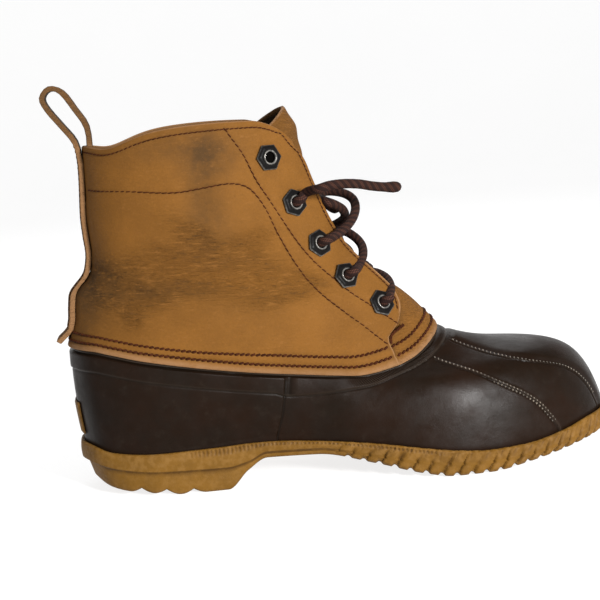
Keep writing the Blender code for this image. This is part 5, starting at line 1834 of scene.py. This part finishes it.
def loop_rows(across):
    """Outer and inner rows of the free loop, square to its middle line."""
    line = np.array(PULL_LOOP)
    along = np.gradient(line, axis=0)
    along /= np.linalg.norm(along, axis=1, keepdims=True)
    out = np.stack([-along[:, 1], along[:, 0]], axis=1) * STRAP_WALL / 2.0
    rows = []
    for side in (1.0, -1.0):
        place = line + out * side
        rows.append(np.array([[(x, y, z) for y in across] for x, z in place]))
    return rows[0], rows[1]


def make_strap():
    """Leather strip up the back seam and over as the pull loop: its rows are refined along a
    smooth curve, and its edges are rounded by a bevel."""
    back_out = strap_rows(STRAP_HEIGHTS, LEATHER_WALL + CLEARANCE + STRAP_WALL)
    back_in = strap_rows(STRAP_HEIGHTS, LEATHER_WALL + CLEARANCE)
    flat = back_out[0] * (0.0, 1.0, 0.0)
    tail_out = flat + (STRAP_TAIL_X - 1.4, 0.0, STRAP_TAIL_Z + 1.6)
    tail_in = flat + (STRAP_TAIL_X + 1.0, 0.0, STRAP_TAIL_Z)
    loop_out, loop_in = loop_rows(back_out[-1, :, 1])
    end_out = strap_rows(LOOP_END_HEIGHTS, -CLEARANCE * 2.0 - STRAP_WALL)
    end_in = strap_rows(LOOP_END_HEIGHTS, -CLEARANCE * 2.0)
    faces = []
    for parts in ((tail_out[None], back_out, loop_out, end_out), (tail_in[None], back_in, loop_in, end_in)):
        rows = np.vstack(parts)
        rows = smooth_route(rows, (len(rows) - 1) * 3 + 1)
        faces.append(np.swapaxes(smooth_route(np.swapaxes(rows, 0, 1), STRAP_COLUMNS), 0, 1))
    outer, inner = faces
    out = outer - inner
    out /= np.linalg.norm(out, axis=-1, keepdims=True)
    across = np.linspace(-1.0, 1.0, STRAP_COLUMNS)
    dent = 0.30 * (hump(across, 0.68, 0.14) + hump(across, -0.68, 0.14))
    outer = outer - out * dent[None, :, None]
    border = border_of(outer.shape)
    border[-1, 1:-1] = 0.0
    # Darker towards the top and on the loop, with less raw edge colour there
    top_share = smooth_step(172.0, 190.0, outer[..., 2])
    shade = 0.45 + 0.5 * top_share
    edge = border * (0.9 - 0.65 * top_share)
    marks = {
        "shade": (shade, shade), "groove": (2.0 * dent, 0.0), "edge": (edge, edge),
        "inside": (0.0, 0.8 * (1.0 - border)), "wrinkle": (0.5, 0.5),
    }
    piece = add_sheet("pull_strap", outer, inner, finish("leather"), marks, 40.0)
    bevel = piece.modifiers.new("rounded_edges", "BEVEL")
    bevel.width = 0.45 * MM
    bevel.segments = 2
    bevel.limit_method = "ANGLE"
    bevel.angle_limit = np.radians(50.0)
    return piece, outer


PATCH_HALF_ANGLE = 12.0
PATCH_CLIMBS = (0.20, 0.5)
PATCH_WALL = 0.9


def make_patch():
    """Small bare patch on the back of the rubber heel, its border bevelled."""
    angles = np.linspace(np.pi - turned(PATCH_HALF_ANGLE), np.pi + turned(PATCH_HALF_ANGLE), 33)
    angle, climb = np.meshgrid(angles, np.linspace(*PATCH_CLIMBS, 19))
    border = border_of(angle.shape)
    seat = COUNTER_PROUD + CLEARANCE
    outer = surface(angle, climb, seat + PATCH_WALL - 0.4 * border)
    marks = {"groove": (0.05 + 0.55 * border, 0.0), "worn": (0.6, 0.6)}
    return add_sheet("bare_heel_patch", outer, surface(angle, climb, seat), finish("gum"), marks, 50.0)


# Eyelets

# Each side's eyelets from the top, seen from the side
EYELETS = table("x z", (
    (107.0, 169.2), (118.8, 145.1), (130.4, 122.9),
    (142.3, 104.3), (160.4, 87.8),
))
EYELET_SIDES = 60

# Section of an eyelet from its dark hole, over the rolled ring, out over the six-sided flange and under
EYELET_SECTION = table("radius height hexagon", (
    (0.10, 0.02, 0.0), (2.70, 0.02, 0.0), (2.75, 0.7, 0.0),
    (2.82, 1.45, 0.0), (3.02, 1.82, 0.0), (3.34, 1.96, 0.0),
    (3.68, 1.86, 0.0), (3.92, 1.58, 0.0), (4.02, 1.30, 0.05),
    (4.50, 1.42, 0.2), (5.40, 1.25, 0.6), (6.50, 0.85, 0.9),
    (7.10, 0.45, 1.0), (7.25, 0.10, 1.0), (7.10, -0.15, 1.0),
    (5.00, -0.30, 0.6), (0.10, -0.40, 0.0),
))
EYELET_LIFT = 0.75
WORN_RADII = (3.30, 0.35)
HOLE_RADIUS = 2.8


def eyelet_seat(index, inner):
    """Centre of an eyelet on the leather's outer face, and the direction it faces."""
    angle, height = find_line(EYELETS, inner)[index]
    lift = quarter_lift(np.array(angle), np.array(height))
    centre = surface(angle, 1.0 + height, CLEARANCE + LEATHER_WALL + lift)
    return centre, form_normal(np.array(angle), np.array(1.0 + height)), height, angle


def make_eyelet(index, inner):
    """One eyelet: its section turned round its axis, with the outer rings drawn in to a hexagon.

    A ring's radius is multiplied by the hexagon's own radius at each turn, in the share that
    its row gives.
    """
    centre, facing, _, _ = eyelet_seat(index, inner)
    turn = Vector(facing).to_track_quat("Z", "Y").to_matrix()
    around = np.arange(EYELET_SIDES) * 2.0 * np.pi / EYELET_SIDES
    spun = around + 0.35 * index + (0.5 if inner else 0.0)
    hexagon = np.cos(np.pi / 6.0) / np.cos(spun % (np.pi / 3.0) - np.pi / 6.0)
    hexagon = hexagon / hexagon.max()
    rings = []
    worn = []
    for row in EYELET_SECTION:
        radius = row.radius * (1.0 + (hexagon - 1.0) * row.hexagon)
        rings.append(np.stack([
            radius * np.cos(around), radius * np.sin(around),
            np.full(EYELET_SIDES, row.height + EYELET_LIFT),
        ], axis=1))
        ring = 0.6 * hump(row.radius, *WORN_RADII) * (row.height > 1.0)
        # The flange's rim is bared a little all round for wear and more on one side as a painted glint
        border = 0.30 * hump(row.radius, 7.1, 0.3) * (row.height > 0.0)
        worn.append(ring + border * (0.35 + 0.65 * smooth_step(0.3, -0.9, np.sin(around))))
    grid = np.stack(rings) @ np.array(turn).T + centre
    faces = tube_faces(len(rings), EYELET_SIDES)
    # The hole's faces take painted shade
    in_hole = [float(row.radius < HOLE_RADIUS and row.height > 0.0) for row in EYELET_SECTION]
    marks = {"worn": np.stack(worn).ravel(), "hole": np.repeat(in_hole, EYELET_SIDES)}
    name = ("inner" if inner else "outer") + "_eyelet_" + str(index + 1)
    return add_mesh(name, grid.reshape(-1, 3), faces, finish("eyelet"), marks, 35.0)


# Lace

LACE_RADIUS = 2.4
CORD_POINTS = 13
LACE_STEP = 0.5
LACE_TURNS = 24
BRAID_STRANDS = 6.0
BRAID_PITCH = 3.3
BRAID_DEPTH = 0.13

# How a lace comes straight out of its eyelet and bends over: height above the leather, and way sideways
LACE_BEND = table("rise run", ((0.5, 0.0), (3.2, 0.2), (5.4, 2.4), (6.0, 6.2)))

# Free ends of the lace, each from the second eyelet of its side
OUTER_END = (
    (131.5, -36.5, 152.4), (140.0, -36.0, 154.0), (152.0, -34.5, 153.2),
    (163.0, -33.0, 150.8), (174.5, -31.5, 150.0),
)
INNER_END = (
    (133.0, 28.0, 144.5), (140.5, 22.0, 140.5), (148.0, 15.0, 136.0),
)

# Way of each strand in front of the throat, from its eyelet to the far quarter one row up
OUTER_STRANDS = (
    (
        (141.0, -21.5, 127.0), (149.5, -12.5, 131.5), (154.3, -4.0, 137.5),
        (154.3, 3.5, 142.8), (149.5, 9.5, 146.0), (141.5, 13.5, 147.0),
    ),
    (
        (151.5, -19.0, 108.8), (156.0, -9.5, 113.5), (157.0, -1.0, 118.0),
        (154.5, 5.5, 122.0), (149.5, 10.0, 125.0),
    ),
    (
        (166.0, -23.0, 91.6), (169.3, -13.5, 95.6), (169.4, -3.0, 99.0),
        (166.3, 5.0, 101.2), (161.2, 11.0, 102.6),
    ),
)
INNER_STRANDS = (
    (
        (141.5, 20.5, 126.5), (147.0, 13.0, 129.5), (149.5, 5.0, 133.0),
        (148.0, -3.0, 137.5), (143.6, -9.0, 141.0), (138.5, -12.5, 143.5),
    ),
    (
        (149.5, 20.0, 107.0), (151.5, 11.0, 109.8), (151.0, 2.0, 113.2),
        (148.5, -5.0, 117.0), (144.8, -10.0, 120.5),
    ),
    (
        (164.5, 19.0, 90.8), (165.5, 9.5, 93.6), (164.6, 1.0, 96.8),
        (161.8, -5.5, 100.0), (157.8, -10.0, 102.8),
    ),
)


def leave_eyelet(index, inner, target):
    """Points of a lace that comes straight out of an eyelet and bends towards a target."""
    centre, facing, _, _ = eyelet_seat(index, inner)
    ahead = np.array(target) - centre
    ahead = ahead - facing * np.dot(ahead, facing)
    ahead = ahead / np.linalg.norm(ahead)
    return np.array([centre + facing * row.rise + ahead * row.run for row in LACE_BEND])


def braid_swell(length, sides, taper=0.0, knob=0.0):
    """Relief of the braid over a tube: the product of two opposite spirals, and its end's shape."""
    way = length[:, None]
    turn = np.arange(sides)[None, :] * 2.0 * np.pi / sides
    right = np.sin(BRAID_STRANDS * turn + BRAID_PITCH * way)
    left = np.sin(BRAID_STRANDS * turn - BRAID_PITCH * way)
    relief = BRAID_DEPTH * (np.abs(right * left) ** 0.5 - 0.6)
    if taper > 0.0:
        rest = np.clip((length[-1] - length) / taper, 0.0, 1.0)
        relief = relief - LACE_RADIUS * (1.0 - np.sqrt(np.clip(1.0 - (1.0 - rest) ** 2, 0.012, 1.0)))[:, None]
        relief = relief + knob * hump(length[-1] - length, 4.5, 3.0)[:, None]
    return relief


def lay_mark(length, sides):
    """The way along a cord and the turn round it, as the braid's material reads them."""
    turn = np.arange(sides) * 2.0 * np.pi / sides
    lay = np.zeros((len(length), sides, 3))
    lay[..., 0] = length[:, None]
    lay[..., 1] = np.cos(turn)
    lay[..., 2] = np.sin(turn)
    return lay.reshape(-1, 3)


def make_lace_end(name, inner, way, node):
    """Free end of the lace, on the route of its CAD cord."""
    way = np.array(way)
    route = smooth_route(np.vstack([leave_eyelet(1, inner, way[0]), way]), CORD_POINTS)
    fine = smooth_route(route, (CORD_POINTS - 1) * 11 + 1)
    length = way_along(fine)
    swell = braid_swell(length, LACE_TURNS, taper=2.6, knob=0.45)
    grid = tube_grid(fine, LACE_RADIUS, LACE_TURNS, swell)
    marks = {"lay": lay_mark(length, LACE_TURNS)}
    faces = tube_faces(len(fine), LACE_TURNS)
    piece = add_mesh(name, grid.reshape(-1, 3), faces, finish("braid"), marks, 70.0)
    place_piece(piece, (node,))


def behind_quarter(angle, height, pressed=0.0):
    """A lace's middle between the tongue and the quarter over it, pressed into the tongue or not."""
    tongue = read_table(TONGUE, "offset", height, "t") + TONGUE_WALL
    quarter = CLEARANCE + quarter_lift(np.array(angle), np.array(height))
    return surface(np.array(angle), np.array(1.0 + height), (tongue + quarter) / 2.0 - pressed)


def up_through(index, inner, pressed=0.0):
    """Points of a lace that comes from behind a quarter's front edge and up into its eyelet."""
    side = 1.0 if inner else -1.0
    centre, facing, height, angle = eyelet_seat(index, inner)
    edge = side * throat_edge(np.array(height))
    points = [
        behind_quarter(edge * 0.55, height, pressed),
        behind_quarter(edge * 1.05, height, pressed),
        behind_quarter(edge * 0.35 + angle * 0.65, height, pressed),
        centre - facing * 3.2,
        centre - facing * 1.2,
        centre + facing * 0.5,
    ]
    return np.array(points)


def strand(index, inner):
    """Route of one strand: out of its eyelet, across the throat, behind the far quarter and up."""
    ways = INNER_STRANDS if inner else OUTER_STRANDS
    way = np.array(ways[index])
    start = leave_eyelet(index + 2, inner, way[0])
    return np.vstack([start[:3], way, up_through(index + 1, not inner)])


def make_lace():
    """The lace through its eyelets: six strands across the throat and a bar behind the lowest pair."""
    sections = []
    for index in range(len(OUTER_STRANDS)):
        sections.append(strand(index, False))
        sections.append(strand(index, True))
    lowest = len(EYELETS) - 1
    bar_out = up_through(lowest, False, 1.4 * LACE_RADIUS)[1:-1]
    bar_in = up_through(lowest, True, 1.4 * LACE_RADIUS)[1:-1]
    sections.append(np.vstack([bar_out[::-1], bar_in]))
    points = []
    faces = []
    lay = []
    start = 0
    for section in sections:
        route = even_route(section, LACE_STEP)
        length = way_along(route)
        grid = tube_grid(route, LACE_RADIUS, LACE_TURNS, braid_swell(length, LACE_TURNS))
        points.append(grid.reshape(-1, 3))
        faces += tube_faces(len(route), LACE_TURNS, start)
        lay.append(lay_mark(length, LACE_TURNS))
        start += grid.shape[0] * grid.shape[1]
    piece = add_mesh("lace_through_eyelets", np.concatenate(points), faces, finish("braid"),
                     {"lay": np.concatenate(lay)}, 70.0)
    nodes = ["lace_crossing_" + str(index + 1) for index in range(len(OUTER_STRANDS))]
    return place_piece(piece, nodes)


# Stitches

STITCH_RINGS = 5
STITCH_SIDES = 6


def stitch_solids(points, normals, pitch, width, rise, fill=0.86, slant=0.0):
    """Small rounded threads laid end to end along a line on a surface.

    Each is a tube whose middle line rises as a half wave over the surface and whose ends dip
    into it; fill is its share of the pitch, and slant turns it from the line, in degrees.
    """
    length = way_along(points)
    count = max(int(length[-1] / pitch), 1)
    start = (np.arange(count) + 0.5) * length[-1] / count
    centre = np.stack([np.interp(start, length, points[:, axis]) for axis in range(3)], axis=1)
    normal = np.stack([np.interp(start, length, normals[:, axis]) for axis in range(3)], axis=1)
    normal /= np.linalg.norm(normal, axis=1, keepdims=True)
    ahead = np.stack([
        np.interp(start + 0.4, length, points[:, axis]) - np.interp(start - 0.4, length, points[:, axis])
        for axis in range(3)
    ], axis=1)
    ahead -= normal * (ahead * normal).sum(1, keepdims=True)
    ahead /= np.linalg.norm(ahead, axis=1, keepdims=True)
    sideways = np.cross(normal, ahead)
    turn = np.radians(slant)
    along = ahead * np.cos(turn) + sideways * np.sin(turn)
    across = np.cross(normal, along)
    t = np.linspace(-1.0, 1.0, STITCH_RINGS)
    radius = width / 2.0 * np.sqrt(np.clip(1.0 - 0.8 * t ** 4, 0.1, 1.0))
    lift = rise * (1.0 - t ** 2) - 0.35 * width * t ** 4
    spin = np.arange(STITCH_SIDES) * 2.0 * np.pi / STITCH_SIDES
    middle = (centre[:, None] + along[:, None] * (t * pitch * fill / 2.0)[None, :, None]
              + normal[:, None] * lift[None, :, None])
    ring = (np.cos(spin)[None, None, :, None] * across[:, None, None]
            + np.sin(spin)[None, None, :, None] * normal[:, None, None])
    return (middle[:, :, None] + ring * radius[None, :, None, None]).reshape(-1, 3), count


def stitch_faces(count, start=0):
    """Faces of many equal stitches, each a closed tube."""
    size = STITCH_RINGS * STITCH_SIDES
    base = start + np.arange(count)[:, None, None] * size
    sides = quads(STITCH_RINGS, STITCH_SIDES, wrap_columns=True)[None] + base
    first = np.arange(STITCH_SIDES)[::-1][None, None] + base
    last = (np.arange(STITCH_SIDES) + size - STITCH_SIDES)[None, None] + base
    return [sides.reshape(-1, 4), first.reshape(-1, STITCH_SIDES), last.reshape(-1, STITCH_SIDES)]


def stitch_piece(name, rows, material):
    """One mesh of all the stitches of several rows."""
    points = []
    faces = []
    start = 0
    for row_points, count in rows:
        points.append(row_points)
        faces += stitch_faces(count, start)
        start += len(row_points)
    piece = add_mesh(name, np.concatenate(points), faces, material, None, 60.0)
    return place_piece(piece)


# Rise, share of the pitch and slant of the lower rows' stitches
HEAVY_STITCH = (0.5, 1.24, 19.0)


def make_lower_stitches():
    """The two heavy rows round the leather's lower edge, on the quarters and across the vamp."""
    pitch = sizes().stitch_pitch / MM
    width = sizes().thread_width / MM
    rows = []
    for rise in ROW_HEIGHTS:
        places = lower_row(np.linspace(0.012, 1.988, 240), rise)
        points = quarter_surface(places[:, 0], places[:, 1], throat_edge(places[:, 1]), LEATHER_WALL - 0.25)
        normals = form_normal(places[:, 0], 1.0 + places[:, 1])
        rows.append(stitch_solids(points, normals, pitch, width, *HEAVY_STITCH))
        shares = np.linspace(-0.8, 0.8, 90)
        heights = np.linspace(0.0, 0.35, 71)
        climb = way_along(vamp_surface(*np.meshgrid(shares, heights), TONGUE_WALL))
        at = height_at_climb(heights, climb, rise)
        points = vamp_surface(shares, at, TONGUE_WALL - 0.2)
        angle = shares * turned(read_table(TONGUE, "angle", at, "t"))
        keep = np.abs(angle) < throat_edge(at) - 0.01
        normals = form_normal(angle, 1.0 + at)
        rows.append(stitch_solids(points[keep], normals[keep], pitch, width, *HEAVY_STITCH))
    return stitch_piece("lower_stitch_rows", rows, finish("thread"))


def make_fine_stitches():
    """The finer rows of the facing, the eyestay, the quarters' front edges and the collar."""
    width = sizes().fine_thread_width / MM
    rows = []
    for inner in (False, True):
        for places, pitch in (
            (find_line(FACING_LINE, inner), 3.1),
            (find_line(EYESTAY_LINE, inner), 3.1),
            (edge_line(inner), 2.6),
        ):
            points, normals = quarter_line(places, -0.12)
            rows.append(stitch_solids(points, normals, pitch, width, 0.24, 1.04, 7.0))
    return stitch_piece("fine_stitch_rows", rows, finish("thread"))


# Thick tack where each quarter's front edge meets the vamp, seen from the side
TACK_LINE = table("x z", ((171.5, 75.4), (167.5, 73.6), (164.2, 71.6), (163.6, 67.5)))


def make_tacks():
    """Bar tacks: close stitches square across a short bent line, doubled."""
    rows = []
    for inner in (False, True):
        places = find_line(TACK_LINE, inner)
        points, normals = quarter_line(places, 0.1)
        rows.append(stitch_solids(points, normals, 0.75, 0.7, 0.25, 2.6, 78.0))
        rows.append(stitch_solids(points, normals, 2.0, 0.8, 0.35, 1.1, 0.0))
    return stitch_piece("bar_tacks", rows, finish("thread"))


def make_strap_stitches(strap):
    """A row near each border of the back strap, above the lower leather."""
    rows = []
    columns = strap.shape[1]
    for column in (2, columns - 3):
        line = strap[4:94, column]
        along = np.gradient(line, axis=0)
        across = strap[4:94, columns - 1] - strap[4:94, 0]
        normals = np.cross(along, across)
        normals /= np.linalg.norm(normals, axis=1, keepdims=True)
        if normals[5, 0] > 0.0:
            normals = -normals
        rows.append(stitch_solids(line, normals, 2.8, 0.6, 0.25, 0.9, 4.0))
    return stitch_piece("strap_stitches", rows, finish("thread"))


def make_toe_stitches():
    """Pale moulded stitches along the four seams of the rubber toe: small slanted lumps, doubled
    and larger at the foot of the lower seam."""
    rows = []
    for number, seam in enumerate(TOE_SEAMS):
        for side in (-1.0, 1.0):
            for low, high, out, width in ((0.05, 0.9, -0.9, 0.55 + 0.15 * number), (0.05, 0.34, 0.9, 0.95)):
                if out > 0.0 and number == 0:
                    continue
                climbs = np.linspace(low, high, 200)
                angles = side * np.radians(read_curve(SEAM_CLIMBS, seam, climbs))
                angles = angles + side * out / spread_at(angles, climbs)
                points = surface(angles, climbs, 0.35 if out < 0.0 else 0.15)
                normals = form_normal(angles, climbs)
                rows.append(stitch_solids(points, normals, 2.1, width, 0.22, 0.55, 34.0 * side))
    return stitch_piece("moulded_toe_stitches", rows, finish("moulded"))


# Operators

class BOOT_OT_stage(bpy.types.Operator):
    """Adds the camera, the pale floor and the soft lights."""

    bl_idname = "boot.stage"
    bl_label = "Stage"

    def execute(self, context):
        make_camera()
        make_floor()
        make_lamps()
        return {"FINISHED"}


class BOOT_OT_lace_ends(bpy.types.Operator):
    """Adds the two free ends of the lace."""

    bl_idname = "boot.lace_ends"
    bl_label = "Lace ends"

    def execute(self, context):
        make_lace_end("free_lace_outer", False, OUTER_END, "lace_end_outer")
        make_lace_end("free_lace_inner", True, INNER_END, "lace_end_inner")
        return {"FINISHED"}


class BOOT_OT_lace(bpy.types.Operator):
    """Adds the lace that runs through the eyelets."""

    bl_idname = "boot.lace"
    bl_label = "Lace"

    def execute(self, context):
        make_lace()
        return {"FINISHED"}


class BOOT_OT_sole(bpy.types.Operator):
    """Adds the gum sole."""

    bl_idname = "boot.sole"
    bl_label = "Gum sole"

    def execute(self, context):
        piece = make_sole()
        weld(piece)
        place_piece(piece, ("outsole",))
        return {"FINISHED"}


class BOOT_OT_rubber(bpy.types.Operator):
    """Adds the rubber bottom, its moulded stitches and the bare patch on its heel."""

    bl_idname = "boot.rubber"
    bl_label = "Rubber bottom"

    def execute(self, context):
        place_piece(make_rubber(), ("rubber_shell",))
        make_toe_stitches()
        place_piece(make_patch(), ("heel_patch",))
        return {"FINISHED"}


class BOOT_OT_footbed(bpy.types.Operator):
    """Adds the felt footbed."""

    bl_idname = "boot.footbed"
    bl_label = "Footbed"

    def execute(self, context):
        place_piece(make_footbed(), ("insole",))
        return {"FINISHED"}


class BOOT_OT_leather(bpy.types.Operator):
    """Adds the leather quarters, the vamp with its tongue, and the back strap."""

    bl_idname = "boot.leather"
    bl_label = "Leather"

    def execute(self, context):
        place_piece(make_quarters(), ("leather_upper",))
        place_piece(make_vamp(), ("tongue",))
        piece, strap = make_strap()
        place_piece(piece, ("back_strap",))
        make_strap_stitches(strap)
        return {"FINISHED"}


class BOOT_OT_stitches(bpy.types.Operator):
    """Adds the stitch rows and bar tacks of the leather."""

    bl_idname = "boot.stitches"
    bl_label = "Stitches"

    def execute(self, context):
        make_lower_stitches()
        make_fine_stitches()
        make_tacks()
        return {"FINISHED"}


class BOOT_OT_eyelets(bpy.types.Operator):
    """Adds five eyelets on each side."""

    bl_idname = "boot.eyelets"
    bl_label = "Eyelets"

    def execute(self, context):
        for index in range(len(EYELETS)):
            for inner in (False, True):
                node = "eyelet_" + ("inner" if inner else "outer") + "_" + str(index + 1)
                place_piece(make_eyelet(index, inner), (node,))
        return {"FINISHED"}


OPERATORS = (
    BOOT_OT_stage, BOOT_OT_lace_ends, BOOT_OT_lace, BOOT_OT_sole, BOOT_OT_rubber,
    BOOT_OT_footbed, BOOT_OT_leather, BOOT_OT_stitches, BOOT_OT_eyelets,
)


class BOOT_PT_panel(bpy.types.Panel):
    """Lists the boot's settings and pieces."""

    bl_idname = "BOOT_PT_panel"
    bl_label = "Duck boot"
    bl_space_type = "VIEW_3D"
    bl_region_type = "UI"
    bl_category = "Boot"

    def draw(self, context):
        layout = self.layout
        for settings in (context.scene.boot_colours, context.scene.boot_sizes):
            for name in settings.__annotations__:
                layout.prop(settings, name)
        for operator in OPERATORS:
            layout.operator(operator.bl_idname)


CLASSES = (BootColours, BootSizes) + OPERATORS + (BOOT_PT_panel,)


def register():
    """Registers the settings, the operators and the panel."""
    for item in CLASSES:
        bpy.utils.register_class(item)
    bpy.types.Scene.boot_colours = bpy.props.PointerProperty(type=BootColours)
    bpy.types.Scene.boot_sizes = bpy.props.PointerProperty(type=BootSizes)


def unregister():
    """Takes them away again."""
    del bpy.types.Scene.boot_sizes
    del bpy.types.Scene.boot_colours
    for item in reversed(CLASSES):
        bpy.utils.unregister_class(item)


def main():
    """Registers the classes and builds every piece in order."""
    register()
    bpy.context.scene.view_settings.view_transform = "Standard"
    bpy.ops.boot.stage()
    bpy.ops.boot.lace_ends()
    bpy.ops.boot.lace()
    bpy.ops.boot.sole()
    bpy.ops.boot.rubber()
    bpy.ops.boot.footbed()
    bpy.ops.boot.leather()
    bpy.ops.boot.stitches()
    bpy.ops.boot.eyelets()


if __name__ == "__main__":
    main()
